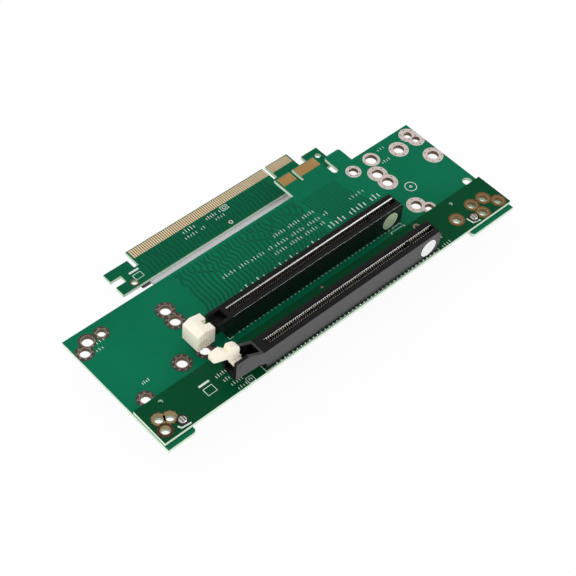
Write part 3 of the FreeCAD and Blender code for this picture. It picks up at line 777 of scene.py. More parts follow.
# rings as (across, up, radius of the hole, radius of the ring)
LEFT_RINGS = [(7.3, 54.8, 2.3, 3.5), (13.5, 54.6, 1.7, 3.1), (3.4, 51.2, 2.1, 3.6),
              (38.0, 47.9, 2.2, 4.0), (37.7, 41.8, 2.2, 4.0), (27.4, 25.6, 2.2, 4.0),
              (7.5, 21.7, 2.0, 3.6), (37.4, 24.7, 2.2, 4.0)]
RIGHT_RINGS = [(174.3, 55.4, 1.7, 3.9), (175.3, 51.6, 1.6, 3.7), (165.5, 52.0, 2.3, 4.2),
               (174.3, 40.7, 2.3, 4.3), (152.5, 55.0, 2.5, 3.7), (142.0, 54.7, 1.9, 3.3),
               (148.8, 47.6, 2.3, 4.2), (148.9, 41.8, 2.3, 4.2), (148.8, 25.6, 2.2, 4.1),
               (151.9, 21.4, 1.8, 2.9)]
STRIP_LEFT_RINGS = [(4.6, 11.0, 1.7, 3.0), (8.2, 9.2, 1.7, 3.0), (3.5, 6.0, 1.7, 3.0)]
STRIP_RIGHT_RINGS = [(170.8, 10.0, 1.8, 3.1), (174.6, 5.2, 1.7, 3.0), (164.4, 10.4, 1.8, 3.0),
                     (165.1, 4.9, 1.8, 3.0), (154.0, 8.7, 1.9, 3.2)]
STRIP_PADS = [(139.0, 16.3, 0.7, 1.5), (89.2, 17.8, 0.02, 0.55), (89.4, 15.2, 0.02, 0.55)]
CARD_RING = [(43.0, 72.5, 1.2, 1.7)]
CARD_PAD = [(92.2, 72.6, 0.5, 1.0)]
# the main board, its tracks and the tracks of the tab and the edge card
CORNER_ROUND = 1.2
MAIN_FIRST, MAIN_TRACKS = 51.4, 31
TAB_FIRST, TAB_TRACKS, TAB_PITCH = 114.4, 13, 1.45
CARD_FIRST, CARD_TRACKS = 51.6, 36
CARD_KEY_FROM, CARD_KEY_TO = 119.0, 125.8
# holes, and the plating round them
HOLE_CLEARANCE, DRILL_CLEARANCE = 0.02, 0.5
BARREL_WALL, RIM_WIDE = 0.08, 0.42
BEAD_FROM_HOLE, BEAD_FROM_SIDE = 0.45, 0.5
# sockets: middle lines, key, solder tails, joints as (row, shift), lip section as shares
SOCKET_MIDDLE = {"rear": 26.8, "front": 6.5}
KEY_PLACE, JOINT_KEY_FROM, JOINT_KEY_TO = 122.5, 121.0, 123.6
FIRST_TAIL, TAILS, TAIL_OUT = 51.4, 42, 3.9
JOINT_ROWS = ((-3.4, 1.0), (-1.4, 0.0), (1.4, 1.0), (3.4, 0.0))
FINGER_PITCH, FINGER_HALF = 1.0, 0.35
LONG_TIPS, SHORT_TIPS = 71, 11
LIP_SECTION = ((0.0, 0.0), (0.15, 0.15), (0.9, 0.75), (1.1, 0.8), (1.3, 0.0))
# the front lever's pin, and the front of the tower that holds it
LEVER_PIVOT, TOWER_FRONT = (35.7, 6.5, 14.1), 2.9
# where the ribbon bends, and the right end of the clamp bars
BEND_UP, BEND_DOWN, BAR_END = 60.8, 68.8, 138.6

# sizes in metres
DOUBLES, DRILL_REACH = 1e-6, 1.0 * MM
RING_STAGGER, SIDE_CLEARANCE = 0.002 * MM, 0.05 * MM
TRACK_CORNER, INK_TALL = 0.6 * MM, 0.03 * MM
TAIL_RADIUS, TIP_WIDE, TIP_THICK = 0.36 * MM, 0.38 * MM, 0.1 * MM
RIB_PROUD, RIB_TALL = 0.34 * MM, 4.6 * MM
WIRE_RADIUS, WIRE_BEND = 0.45 * MM, 2.2 * MM
BAR_SHORTER, BAR_EDGE = 3.4 * MM, 0.7 * MM
SHARP_ANGLE = math.radians(40)
# the stage: the floor's half width and its gap below the card, and the camera
FLOOR_REACH, FLOOR_GAP = 4.0, 0.5 * MM
SENSOR_WIDE, LENS = 36.0, 89.343125
EYE_PLACE = (-0.177613, -0.260536, 0.416077)
EYE_TURN = (0.685248, -0.065032, -0.743376)

# plain outlines and bars, as paths
MAIN_LINES = [
    circle(154.3, 34.1, 2.4, 24),
    circle(154.3, 34.1, 0.5, 12),
    [(133.1, 22.4), (133.1, 23.2), (136.7, 23.1), (136.7, 22.3)],
    [(47.5, 24.0), (47.5, 22.6), (49.5, 22.6)],
]
STRIP_LINES = [
    [(47.0, 5.2), (47.0, 2.15), (137.2, 2.15), (137.2, 4.0)],
    [(128.7, 19.5), (128.7, 20.4), (135.7, 20.2), (135.7, 19.4)],
    [(23.9, 12.7), (28.7, 12.7)], [(23.9, 12.4), (28.7, 12.4)], [(23.9, 12.1), (28.7, 12.1)],
    [(24.3, 10.6), (28.3, 10.6), (28.3, 7.4), (24.3, 7.4), (24.3, 10.6)],
    [(39.0, 2.0), (39.0, 4.6), (41.8, 4.6), (41.8, 2.0), (39.0, 2.0)],
    [(39.9, 2.9), (39.9, 3.8), (40.9, 3.8), (40.9, 2.9)],
    [(7.6, 4.4), (8.4, 3.0), (12.4, 2.6)], [(7.9, 4.7), (8.6, 3.3), (12.6, 2.9)],
    [(157.4, 6.6), (157.8, 3.4), (161.4, 2.6)], [(157.7, 6.5), (158.1, 3.7), (161.5, 2.9)],
]
CARD_LINES = [
    [(44.0, 77.5), (48.6, 77.5)], [(44.0, 77.2), (48.6, 77.2)], [(44.0, 76.9), (48.6, 76.9)],
    [(44.4, 75.6), (48.2, 75.6), (48.2, 73.0), (44.4, 73.0), (44.4, 75.6)],
    [(93.6, 79.0), (93.6, 81.4), (96.8, 81.4), (96.8, 79.0), (93.6, 79.0)],
    [(94.5, 79.7), (94.5, 80.7), (96.0, 80.7), (96.0, 79.7), (94.5, 79.7)],
]
# plain graduations as (start, end, up, count, height)
MAIN_SCALES = [
    (93.6, 114.1, 48.6, 17, 1.7), (64.9, 77.1, 45.4, 10, 1.7), (79.0, 89.0, 45.0, 8, 1.7),
    (91.0, 117.9, 44.6, 20, 1.7), (88.0, 113.5, 41.6, 20, 1.7), (113.9, 140.7, 38.2, 15, 2.7),
    (66.0, 106.0, 35.4, 15, 2.9), (130.4, 139.2, 44.2, 6, 1.6), (158.2, 161.3, 56.4, 3, 1.2),
    (154.9, 158.6, 50.2, 4, 1.4), (9.4, 12.3, 51.4, 3, 1.3), (7.3, 9.8, 48.6, 3, 1.3),
    (10.8, 13.5, 27.0, 4, 1.3),
]
STRIP_SCALES = [
    (31.6, 37.0, 11.2, 6, 1.6), (32.8, 38.4, 8.2, 6, 1.6), (33.8, 38.4, 5.2, 5, 1.5),
    (34.6, 38.2, 2.4, 4, 1.4), (139.6, 143.6, 2.2, 4, 1.3), (139.8, 142.6, 6.0, 3, 1.2),
]
CARD_SCALES = [
    (72.6, 82.1, 76.6, 8, 1.5), (73.8, 80.6, 79.4, 6, 2.0), (85.7, 92.4, 79.2, 7, 1.8),
    (88.6, 92.6, 76.8, 4, 1.4),
]
POST_PLACES = [(10.8, 5.5), (160.3, 5.3)]


def flat_rings(name, rings, level, tall, finish, down=False):
    """Flat plated rings on a board face, cut clear of every hole."""
    form = bmesh.new()
    for across, up, hole, _ in rings:
        disc_into(form, on_board(across, up), (hole + HOLE_CLEARANCE) * MM,
                  level - DRILL_REACH, level + DRILL_REACH, 40)
    cutter = piece(f"{name}_cutter", mesh_of(form, "cutter"), finish)
    made = []
    for index, (across, up, _, reach) in enumerate(rings):
        form = bmesh.new()
        rise = tall + index * RING_STAGGER
        low, high = (level - rise, level) if down else (level, level + rise)
        disc_into(form, on_board(across, up), reach * MM, low, high, 48)
        for vert in form.verts:
            vert.co.x = min(max(vert.co.x, BOARD_LEFT + SIDE_CLEARANCE),
                            BOARD_RIGHT - SIDE_CLEARANCE)
        ring = piece(f"{name}_{index}", mesh_of(form, "ring"), finish)
        cut(ring, cutter)
        made.append(ring)
    bpy.data.objects.remove(cutter, do_unlink=True)
    settle(join_meshes(name, made, finish))


def barrels(name, rings, low, high, finish):
    """Plated walls of the holes, standing just proud of the laminate."""
    form = bmesh.new()
    for across, up, hole, _ in rings:
        inner, outer = (hole - BARREL_WALL) * MM, hole * MM
        turn_into(form, on_board(across, up),
                  [(outer, low), (outer, high), (inner, high), (inner, low)], 40)
    settle(piece(name, mesh_of(form, name), finish, True))


def ring_spots(rings, inset, per_mm):
    """Places on a circle near each ring's rim, clear of every hole and of the board's sides."""
    spots = []
    side = BEAD_FROM_SIDE
    for across, up, _, reach in rings:
        circle = reach - inset
        count = max(6, round(2 * math.pi * circle * per_mm))
        for step in range(count):
            angle = 2 * math.pi * (step + 0.35) / count
            x, y = across + circle * math.cos(angle), up + circle * math.sin(angle)
            clear = all(math.hypot(x - other[0], y - other[1]) > other[2] + BEAD_FROM_HOLE
                        for other in rings)
            if clear and side < x < (BOARD_RIGHT - BOARD_LEFT) / MM - side:
                spots.append((x, y))
    return spots


def beads(name, spots, level, size, flatness, finish):
    """Low domes on one level, at places in millimetres."""
    points = [[on_board(x, y, level_mm(level))] for x, y in spots]
    settle(grown(name, seed_paths(name, points), bead_tree(), finish, True, Size=size,
                 Flatness=flatness))


def strips(name, paths, level, finish, wide, tall, corner=0.0):
    """Flat strips on one level, along paths in millimetres."""
    spots = [[on_board(x, y, level) for x, y in path] for path in paths]
    settle(grown(name, seed_paths(name, spots), strip_tree(), finish, Width=wide, Height=tall,
                 Corner=corner))


# ---- operators ----------------------------------------------------------------------

class RISER_OT_boards(bpy.types.Operator):
    """Give the three boards their solder mask and bare edges"""
    bl_idname = "riser.boards"
    bl_label = "Boards"

    def square(self, form):
        """Draw the four outer corners of the main board out to a point"""
        near = CORNER_ROUND * 1.01 * MM
        back = max(vert.co.y for vert in form.verts if vert.co.x < BOARD_LEFT + 0.01 * MM)
        back += CORNER_ROUND * MM
        for vert in form.verts:
            across = BOARD_LEFT if vert.co.x < BOARD_LEFT + near else (
                BOARD_RIGHT if vert.co.x > BOARD_RIGHT - near else None)
            up = CORNER.y if vert.co.y < CORNER.y + near else (
                back if abs(vert.co.y - back) < near else None)
            if across is not None and up is not None:
                vert.co.x, vert.co.y = across, up
        bmesh.ops.remove_doubles(form, verts=form.verts, dist=DOUBLES)
        bmesh.ops.dissolve_degenerate(form, edges=form.edges, dist=DOUBLES)

    def execute(self, context):
        form = cad_form("main_board")
        self.square(form)
        board = piece("drilled_board", mesh_of(form, "drilled_board", outward=False), "main_mask")
        faces = len(board.data.polygons)
        # one hole at a time, because drills that overlap would lose the board
        for across, up, hole, _ in STRIP_LEFT_RINGS + STRIP_RIGHT_RINGS:
            form = bmesh.new()
            disc_into(form, on_board(across, up), (hole + DRILL_CLEARANCE) * MM,
                      BOARD_LOW - DRILL_REACH, TOP + DRILL_REACH, 36)
            drill = piece("drill", mesh_of(form, "drill"), "main_mask")
            cut(board, drill)
            bpy.data.objects.remove(drill, do_unlink=True)
        if len(board.data.polygons) < faces:
            raise RuntimeError("the main board was lost while it was drilled")
        coat(board.data, "main_mask")
        settle(board, replaces=["main_board"])
        dress("strip_board", "strip_mask")
        dress("edge_card", "card_mask")
        return {"FINISHED"}


def meander(across, low, high, swing, step, phase):
    """A track that runs straight and then swings to and fro."""
    path = [(across, low)]
    up = low + step * (1.0 + phase)
    side = 1
    while up + step < high:
        path.append((across + side * swing, up))
        path.append((across + side * swing, up + step * 0.45))
        side = -side
        up += step
    path.append((across, high))
    return path


class RISER_OT_tracks(bpy.types.Operator):
    """Lay the tracks that show through the solder mask"""
    bl_idname = "riser.tracks"
    bl_label = "Tracks"

    def execute(self, context):
        look = context.scene.riser_card.tracks
        pitch, swing = look.pitch / MM, look.swing / MM
        level = level_mm(TOP) + look.tall / MM / 2
        main, tab, card = [], [], []
        for index in range(MAIN_TRACKS):
            across = MAIN_FIRST + index * pitch
            turn_at = 47.2 + 2.4 * math.sin(index * 0.55)
            phase = 0.3 * math.sin(index * 0.8) + 0.3
            main.append([(across - 1.6, 30.9), (across - 1.6, 36.5), (across, 40.0),
                         *meander(across, turn_at, 58.8, swing, 2.5, phase)])
        for index in range(TAB_TRACKS):
            across = TAB_FIRST + index * TAB_PITCH
            tab.append([(across + 5.2, 31.2), (across + 5.2, 36.0), (across + 0.6, 50.0),
                        (across, 56.6)])
        for index in range(CARD_TRACKS):
            across = CARD_FIRST + index * pitch
            phase = 0.3 * math.sin(index * 0.9) + 0.3
            if not CARD_KEY_FROM < across < CARD_KEY_TO:
                card.append(meander(across, 71.4, 81.4, swing, 3.0, phase))
        strips("main_tracks", main, level, "track_mask", look.wide,
               look.tall, TRACK_CORNER)
        strips("tab_tracks", tab, level, "track_mask", look.wide * 0.7,
               look.tall, TRACK_CORNER)
        strips("card_tracks", card, level_mm(CARD_TOP) + look.tall / MM / 2, "card_track_mask",
               look.wide * 0.8, look.tall, TRACK_CORNER)
        return {"FINISHED"}


class RISER_OT_pads(bpy.types.Operator):
    """Plate the rings and barrels of the fixing holes"""
    bl_idname = "riser.pads"
    bl_label = "Pads"

    def main_board(self, look):
        """Rings on both faces, bright rims, barrels and vias"""
        for side, rings, plate, bright in (
                ("left", LEFT_RINGS, "dull_plating", "rim_plating"),
                ("right", RIGHT_RINGS, "pale_plating", "pale_plating")):
            flat_rings(f"{side}_rings", rings, TOP, look.tall, plate)
            flat_rings(f"{side}_rings_below", rings, BOARD_LOW, look.tall, plate,
                       down=True)
            rims = [(x, y, hole, hole + RIM_WIDE) for x, y, hole, _ in rings]
            flat_rings(f"{side}_rims", rims, TOP, look.tall * 2.2, bright)
            barrels(f"{side}_barrels", rings, BOARD_LOW, TOP, "barrel_plating")
        beads("left_vias", ring_spots(LEFT_RINGS, 0.75, 0.42), TOP + look.tall,
              look.via * 1.05, 0.3, "worn_bead")
        beads("right_vias", ring_spots(RIGHT_RINGS, 0.8, 0.3), TOP + look.tall,
              look.via * 0.65, 0.2, "dark_via")

    def strip_board(self, look):
        """Rings and vias, and on the eyelets a moat with studs"""
        for side, rings, plate, via in (
                ("left", STRIP_LEFT_RINGS, "dark_gilt", "rim_plating"),
                ("right", STRIP_RIGHT_RINGS, "bronze_plating", "dark_via")):
            flat_rings(f"strip_{side}_rings", rings, STRIP_TOP, look.tall, plate)
            beads(f"strip_{side}_vias", ring_spots(rings, 0.35, 0.6), STRIP_TOP + look.tall,
                  look.via * 0.42, 0.25, via)
        dress("eyelets_left", "gilt_rim")
        dress("eyelets_right", "bronze_plating")
        film = look.tall * 0.5
        for side, rings, crown_wide, plate, stud in (
                ("left", STRIP_LEFT_RINGS, 0.3, "dark_gilt", "bronze_plating"),
                ("right", STRIP_RIGHT_RINGS, 0.55, "bronze_plating", "dark_gilt")):
            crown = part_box(f"eyelets_{side}")[1][2]
            moats = [(x, y, hole + crown_wide, reach + 0.1) for x, y, hole, reach in rings]
            flat_rings(f"strip_{side}_moats", moats, crown, film, plate)
            if side == "right":
                rims = [(x, y, hole + 0.12, hole + 0.5) for x, y, hole, _ in rings]
                flat_rings("strip_right_rims", rims, crown, film, "gilt_rim")
            beads(f"strip_{side}_studs", ring_spots(moats, 0.3, 0.5), crown + film,
                  look.via * 0.5, 0.25, stud)

    def execute(self, context):
        look = context.scene.riser_card.pads
        self.main_board(look)
        self.strip_board(look)
        for name, rings, level, plate in (
                ("strip_pads", STRIP_PADS, STRIP_TOP, "rim_plating"),
                ("card_ring", CARD_RING, CARD_TOP, "bronze_plating"),
                ("card_pad", CARD_PAD, CARD_TOP, "pale_plating")):
            flat_rings(name, rings, level, look.tall, plate)
        return {"FINISHED"}


class RISER_OT_solder(bpy.types.Operator):
    """Set the solder tails and joints of both sockets"""
    bl_idname = "riser.solder"
    bl_label = "Solder"

    def tails(self, pitch, end, level):
        """Tails along the socket's foot, on the side or sides that can be seen"""
        middle = SOCKET_MIDDLE[end]
        spots = [(FIRST_TAIL + 1.0 + step * pitch, middle - TAIL_OUT) for step in range(TAILS)]
        if end == "rear":
            spots += [(FIRST_TAIL + step * pitch, middle + TAIL_OUT) for step in range(TAILS)]
        beads(f"{end}_tails", spots, level, TAIL_RADIUS, 0.8, "tin_solder")

    def joints(self, pitch, end, level, radius):
        """Joints on the underside, in four rows that are parted at the key"""
        spots = [(FIRST_TAIL + step * pitch + shift, SOCKET_MIDDLE[end] + row)
                 for row, shift in JOINT_ROWS for step in range(TAILS)]
        spots = [(x, y) for x, y in spots if not JOINT_KEY_FROM < x < JOINT_KEY_TO]
        beads(f"{end}_joints", spots, level, radius, 0.8, "tin_solder")

    def posts(self):
        """Round heads on the posts, each with a slot and a collar of painted shade"""
        for side in ("left", "right"):
            dress(f"strip_post_{side}", "tin_solder")
        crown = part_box("strip_post_left")[1][2]
        heads, dark = bmesh.new(), bmesh.new()
        for across, up in POST_PLACES:
            spot = on_board(across, up)
            turn_into(heads, spot, [(1.55 * MM, STRIP_TOP), (1.5 * MM, crown - 0.1 * MM),
                                    (1.2 * MM, crown + 0.1 * MM), (0.02 * MM, crown + 0.12 * MM),
                                    (0.02 * MM, STRIP_TOP)], 24)
            # painted shade: a dark ring round the foot of each head
            turn_into(dark, spot, [(2.25 * MM, STRIP_TOP), (2.15 * MM, STRIP_TOP + 0.3 * MM),
                                   (1.6 * MM, STRIP_TOP + 0.32 * MM), (1.6 * MM, STRIP_TOP)], 24)
            # painted shade: dark bars raised on the crown stand in for the shaded recess of the
            # slot
            for side in (-1, 1):
                low = spot + Vector((side * 0.55 * MM - 0.14 * MM, -1.15 * MM, 0))
                high = low + Vector((0.28 * MM, 2.3 * MM, 0))
                low.z, high.z = crown, crown + 0.2 * MM
                box_into(dark, low, high)
        settle(piece("post_heads", mesh_of(heads, "post_heads"), "tin_solder", True))
        settle(piece("post_painted_shade", mesh_of(dark, "post_painted_shade"), "dark_via"))

    def execute(self, context):
        look = context.scene.riser_card.solder
        pitch = look.tail_pitch / MM
        self.tails(pitch, "rear", TOP)
        self.tails(pitch, "front", STRIP_TOP)
        self.joints(pitch, "rear", BOARD_LOW, look.joint)
        self.joints(pitch, "front", STRIP_LOW, look.joint)
        self.posts()
        return {"FINISHED"}


class RISER_OT_fingers(bpy.types.Operator):
    """Gild the contact fingers of both card edges"""
    bl_idname = "riser.fingers"
    bl_label = "Fingers"

    def execute(self, context):
        for side in ("top", "bottom"):
            dress(f"tab_fingers_{side}", "finger_gold")
            dress(f"card_fingers_{side}", "card_gold")
        return {"FINISHED"}


class RISER_OT_sockets(bpy.types.Operator):
    """Finish the sockets, their contacts and their labels"""
    bl_idname = "riser.sockets"
    bl_label = "Sockets"

    def lips(self, end, left, right, top, tall):
        """Polished lips along a mouth, parted at the key"""
        form = bmesh.new()
        wall = on_board(0, SOCKET_MIDDLE[end] + 0.98).y
        section = [(wall + tall * out, top + tall * up) for out, up in LIP_SECTION]
        key = on_board(KEY_PLACE, 0).x
        for start, stop in ((left - 1.1 * MM, key - 1.3 * MM), (key - 1.0 * MM, right + 1.1 * MM)):
            extrude_into(form, section, start, stop)
        if end == "rear":
            edge = on_board(0, SOCKET_MIDDLE[end] - 3.58).y
            section = [(edge, top - 0.08 * MM), (edge + 0.1 * MM, top + 0.02 * MM),
                       (edge + 0.2 * MM, top)]
            extrude_into(form, section, left - 1.7 * MM, right + 1.7 * MM)
        settle(piece(f"{end}_lips", mesh_of(form, "lips"), "polished_lip"))

    def cap(self):
        """A flush cap over the outer end of the lever's pin"""
        pivot = on_board(*LEVER_PIVOT)
        form = bmesh.new()
        matrix = Matrix.Translation((pivot.x, on_board(0, TOWER_FRONT).y - 0.04 * MM, pivot.z))
        matrix = matrix @ Matrix.Rotation(math.pi / 2, 4, "X")
        bmesh.ops.create_cone(form, cap_ends=True, segments=24, radius1=1.45 * MM,
                              radius2=1.3 * MM, depth=0.1 * MM, matrix=matrix)
        settle(piece("pivot_cap", mesh_of(form, "pivot_cap"), "socket_nylon"))

    def tips(self, end, left, right, top, finish):
        """The bent tips of the contacts, in two rows on each side of the key"""
        for side, sign in (("front", -1), ("back", 1)):
            foot = on_board(0, SOCKET_MIDDLE[end] + sign * 0.78).y
            head = on_board(0, SOCKET_MIDDLE[end] + sign * 1.08).y
            thick = sign * TIP_THICK
            low, high = top - 1.0 * MM, top - 0.12 * MM
            section = [(foot, low), (head, high), (head + thick, high), (foot + thick, low)]
            for half, start, count in (("long", left + 0.02 * MM, LONG_TIPS),
                                       ("short", right - 10.42 * MM, SHORT_TIPS)):
                form = bmesh.new()
                extrude_into(form, section, start, start + TIP_WIDE)
                made = grown(f"{end}_tips_{side}_{half}", mesh_of(form, "tip"), row_tree(),
                             finish, Count=count, Step=(FINGER_PITCH * MM, 0.0, 0.0))
                settle(made)

    def execute(self, context):
        for end in SOCKET_MIDDLE:
            dress(f"{end}_socket", "socket_nylon")
            for side in ("front", "back"):
                dress(f"{end}_contacts_{side}", "contact_spring")
        lip = context.scene.riser_card.sockets.lip
        # the rear contact tips carry painted shade, and the front ones a painted highlight
        for end, share, finish in (("rear", 0.9, "dim_tip"), ("front", 0.2, "pale_tip")):
            low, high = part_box(f"{end}_contacts_back")
            top = high[2] + 0.9 * MM
            self.lips(end, low[0], high[0], top, lip * share)
            if end == "front":
                self.cap()
            self.tips(end, low[0], high[0], top, finish)
        dress("rear_label", "rear_paper")
        dress("front_label", "front_paper")
        return {"FINISHED"}


class RISER_OT_latches(bpy.types.Operator):
    """Round the latches and give the broad one its thumb ribs, with painted shade between them"""
    bl_idname = "riser.latches"
    bl_label = "Latches"

    def execute(self, context):
        look = context.scene.riser_card.latches
        clip = refined("rear_latch", "clip", "latch_ivory", look.edge)
        settle(clip, REAR_LATCH, ["rear_latch"])
        low = Vector(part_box("rear_latch")[0])
        form = bmesh.new()
        for index in range(look.ribs):
            start = low.x + 0.7 * MM + index * look.rib_pitch
            base = low.z + 0.35 * MM
            box_into(form, (start, low.y - RIB_PROUD, base),
                     (start + look.rib_pitch * 0.4, low.y + 0.1 * MM, base + RIB_TALL))
        settle(piece("clip_ribs", mesh_of(form, "clip_ribs"), "latch_ivory"),
               REAR_LATCH)
        # painted shade: a darker sheet just behind the ribs stands in for the shade in the grooves
        # between them
        form = bmesh.new()
        left = low.x + 0.6 * MM
        box_into(form, (left, low.y - 0.05 * MM, low.z + 0.3 * MM),
                 (left + look.ribs * look.rib_pitch, low.y + 0.02 * MM, low.z + 5.0 * MM))
        settle(piece("clip_groove_shade", mesh_of(form, "clip_groove_shade"), "groove_ivory"),
               REAR_LATCH)
        lever = refined("front_latch", "lever", "latch_ivory", look.edge * 0.8)
        settle(lever, FRONT_LATCH, ["front_latch"])
        return {"FINISHED"}


class RISER_OT_cable(bpy.types.Operator):
    """Lay the wires of the ribbon between the main board and the edge card"""
    bl_idname = "riser.cable"
    bl_label = "Cable"

    def execute(self, context):
        look = context.scene.riser_card.cable
        low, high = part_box("ribbon_cable")
        pitch = (high[0] - low[0] - 2 * WIRE_RADIUS) / (look.wires - 1)
        left = low[0] + WIRE_RADIUS
        upper, lower = high[2] - WIRE_RADIUS, low[2] + WIRE_RADIUS
        path = [(left, low[1], upper), (left, CORNER.y + BEND_UP * MM, upper),
                (left, CORNER.y + BEND_DOWN * MM, lower), (left, high[1], lower)]
        made = grown("ribbon_wires", seed_paths("ribbon_wires", [path]), wire_tree(),
                     "ribbon_skin", True, Corner=WIRE_BEND, Radius=WIRE_RADIUS,
                     Count=look.wires, Step=(pitch, 0.0, 0.0))
        settle(made)
        dress("ribbon_cable", "ribbon_skin")
        for node in ("main_clamp_bar", "card_clamp_bar"):
            low, high = (Vector(corner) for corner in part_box(node))
            form = bmesh.new()
            box_into(form, low + Vector((BAR_SHORTER, 0, 0)),
                     (min(high.x, on_board(BAR_END, 0).x), high.y, high.z))
            bmesh.ops.bevel(form, geom=form.edges[:], offset=BAR_EDGE, segments=3, profile=0.5,
                            affect="EDGES")
            made = piece(f"{node}_moulded", mesh_of(form, node), "bar_nylon", True)
            made.data.set_sharp_from_angle(angle=SHARP_ANGLE)
            settle(made, replaces=[node])
        return {"FINISHED"}


class RISER_OT_marks(bpy.types.Operator):
    """Print the plain outlines and bars on the boards"""
    bl_idname = "riser.marks"
    bl_label = "Marks"

    def graduations(self, scales, bold):
        """Upright strokes; every sixth is left out, and the tall rows are the bold ones"""
        paths = []
        for start, end, up, count, tall in scales:
            for step in range(count):
                if step % 6 == 5 or (tall > 2.5) != bold:
                    continue
                x = start + (end - start) * step / (count - 1)
                rise = tall if step % 2 else tall * 0.72
                paths.append([(x, up), (x, up + rise)])
        return paths

    def execute(self, context):
        wide = context.scene.riser_card.marks.wide
        for name, base, lines, scales in (("main", TOP, MAIN_LINES, MAIN_SCALES),
                                          ("strip", STRIP_TOP, STRIP_LINES, STRIP_SCALES),
                                          ("card", CARD_TOP, CARD_LINES, CARD_SCALES)):
            level = level_mm(base) + 0.035
            for kind, paths, share in (
                    ("outlines", lines, 1.0),
                    ("scales_fine", self.graduations(scales, False), 0.85),
                    ("scales_bold", self.graduations(scales, True), 1.5)):
                if paths:
                    strips(f"{name}_{kind}", paths, level, "ink_white",
                           wide * share, INK_TALL)
        return {"FINISHED"}


class RISER_OT_stage(bpy.types.Operator):
    """Set the floor, the even light and the camera"""
    bl_idname = "riser.stage"
    bl_label = "Stage"

    def floor(self, look, middle, level):
        """A wide white floor that shows only a faint shadow"""
        mesh = bpy.data.meshes.new("floor")
        mesh.from_pydata([(middle.x + x * FLOOR_REACH, middle.y + y * FLOOR_REACH, level)
                          for x, y in ((-1, -1), (1, -1), (1, 1), (-1, 1))], [], [(0, 1, 2, 3)])
        floor = bpy.data.objects.new("floor", mesh)
        bpy.context.scene.collection.objects.link(floor)
        floor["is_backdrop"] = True
        white = Finish("floor_white", (0.9, 0.9, 0.9, 1.0), 0.9)
        glow = white.out("ShaderNodeEmission", Color=(1.0, 1.0, 1.0, 1.0))
        share = white.out("ShaderNodeMath", {"operation": "MULTIPLY"},
                          white.any_ray("Camera", "Glossy", "Transmission"), 1.0 - look.shadow)
        surface = white.out("ShaderNodeMixShader", (), share, white.shader.outputs[0], glow)
        white.feed(white.tree.nodes["Material Output"].inputs["Surface"], surface)
        mesh.materials.append(finish_for("floor_white"))

    def sky(self, look):
        """Even light, white to the eye, and a room in reflections that is dim overhead"""
        world = bpy.data.worlds.new("even_light")
        bpy.context.scene.world = world
        world.use_nodes = True
        nodes = Nodes(world.node_tree)
        nodes.tree.nodes.clear()
        even = nodes.out("ShaderNodeBackground", Strength=look.sky)
        white = nodes.out("ShaderNodeBackground", Strength=1.0)
        heading = nodes.node("ShaderNodeTexCoord").outputs["Generated"]
        height = nodes.node("ShaderNodeSeparateXYZ", (), heading).outputs[2]
        dimming = nodes.out("ShaderNodeMapRange", Value=height, From_Min=0.3, From_Max=0.62,
                            To_Min=1.0, To_Max=look.ceiling)
        room = nodes.out("ShaderNodeBackground", Strength=dimming)
        mirrored = nodes.out("ShaderNodeMixShader", (), nodes.any_ray("Glossy"), even, room)
        seen = nodes.any_ray("Camera", "Transmission")
        blend = nodes.out("ShaderNodeMixShader", (), seen, mirrored, white)
        nodes.node("ShaderNodeOutputWorld", (), blend)

    def lamps(self, look, middle):
        """Two lamps that light the part, and one that only shines in its gloss"""
        for name, place, size, power, lights_all in (
                ("soft_lamp", (-0.35, 0.25, 0.75), 0.7, look.lamp, True),
                ("fill_lamp", (-0.65, -0.7, 0.3), 0.7, look.fill, True),
                ("strip_lamp", (0.43, -0.68, 0.37), 0.36, look.strip, False)):
            lamp = bpy.data.lights.new(name, "AREA")
            lamp.size = size
            lamp.energy = power
            holder = bpy.data.objects.new(name, lamp)
            holder.location = middle + Vector(place)
            aim = middle - holder.location
            holder.rotation_euler = aim.to_track_quat("-Z", "Y").to_euler()
            holder.visible_diffuse = lights_all
            holder.visible_glossy = not lights_all
            bpy.context.scene.collection.objects.link(holder)

    def camera(self, scene):
        """The camera that the card is seen through"""
        camera = bpy.data.cameras.new("camera")
        camera.sensor_width = SENSOR_WIDE
        camera.lens = LENS
        camera.clip_start = 0.01
        camera.clip_end = 20.0
        eye = bpy.data.objects.new("camera", camera)
        eye.location = EYE_PLACE
        eye.rotation_euler = EYE_TURN
        scene.collection.objects.link(eye)
        scene.camera = eye

    def execute(self, context):
        look = context.scene.riser_card.stage
        low, high = (Vector(corner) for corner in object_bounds())
        middle = (low + high) / 2
        self.floor(look, middle, low.z - FLOOR_GAP)
        self.sky(look)
        self.lamps(look, middle)
        self.camera(context.scene)
        context.scene.view_settings.view_transform = "Standard"
        return {"FINISHED"}


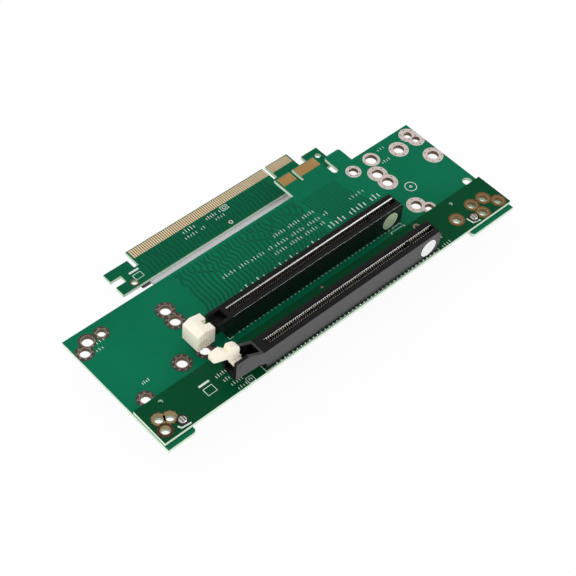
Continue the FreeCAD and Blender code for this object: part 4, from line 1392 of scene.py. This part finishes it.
class RISER_PT_panel(bpy.types.Panel):
    """Lists the steps that dress the riser card"""
    bl_idname = "RISER_PT_panel"
    bl_label = "Riser card"
    bl_space_type = "VIEW_3D"
    bl_region_type = "UI"
    bl_category = "Riser card"

    def draw(self, context):
        column = self.layout.column(align=True)
        for step in STEPS:
            column.operator(step.bl_idname)


class RiserCardSettings(bpy.types.PropertyGroup):
    board: PointerProperty(type=RiserBoardSettings, name="Boards", description="Boards")
    tracks: PointerProperty(type=RiserTrackSettings, name="Tracks", description="Tracks")
    pads: PointerProperty(type=RiserPadSettings, name="Pads", description="Pads")
    solder: PointerProperty(type=RiserSolderSettings, name="Solder", description="Solder")
    sockets: PointerProperty(type=RiserSocketSettings, name="Sockets", description="Sockets")
    latches: PointerProperty(type=RiserLatchSettings, name="Latches", description="Latches")
    cable: PointerProperty(type=RiserCableSettings, name="Cable", description="Cable")
    marks: PointerProperty(type=RiserMarkSettings, name="Marks", description="Marks")
    stage: PointerProperty(type=RiserStageSettings, name="Stage", description="Stage")


SETTINGS = (RiserBoardSettings, RiserTrackSettings, RiserPadSettings, RiserSolderSettings,
            RiserSocketSettings, RiserLatchSettings, RiserCableSettings, RiserMarkSettings,
            RiserStageSettings, RiserCardSettings)
STEPS = (RISER_OT_boards, RISER_OT_tracks, RISER_OT_pads, RISER_OT_solder, RISER_OT_fingers,
         RISER_OT_sockets, RISER_OT_latches, RISER_OT_cable, RISER_OT_marks, RISER_OT_stage)


def register():
    for item in (*SETTINGS, *STEPS, RISER_PT_panel):
        bpy.utils.register_class(item)
    bpy.types.Scene.riser_card = PointerProperty(type=RiserCardSettings)


def unregister():
    del bpy.types.Scene.riser_card
    for item in reversed((*SETTINGS, *STEPS, RISER_PT_panel)):
        bpy.utils.unregister_class(item)


def main():
    """Dress the card step by step."""
    register()
    for step in STEPS:
        group, name = step.bl_idname.split(".")
        getattr(getattr(bpy.ops, group), name)()
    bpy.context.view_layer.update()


if __name__ == "__main__":
    main()
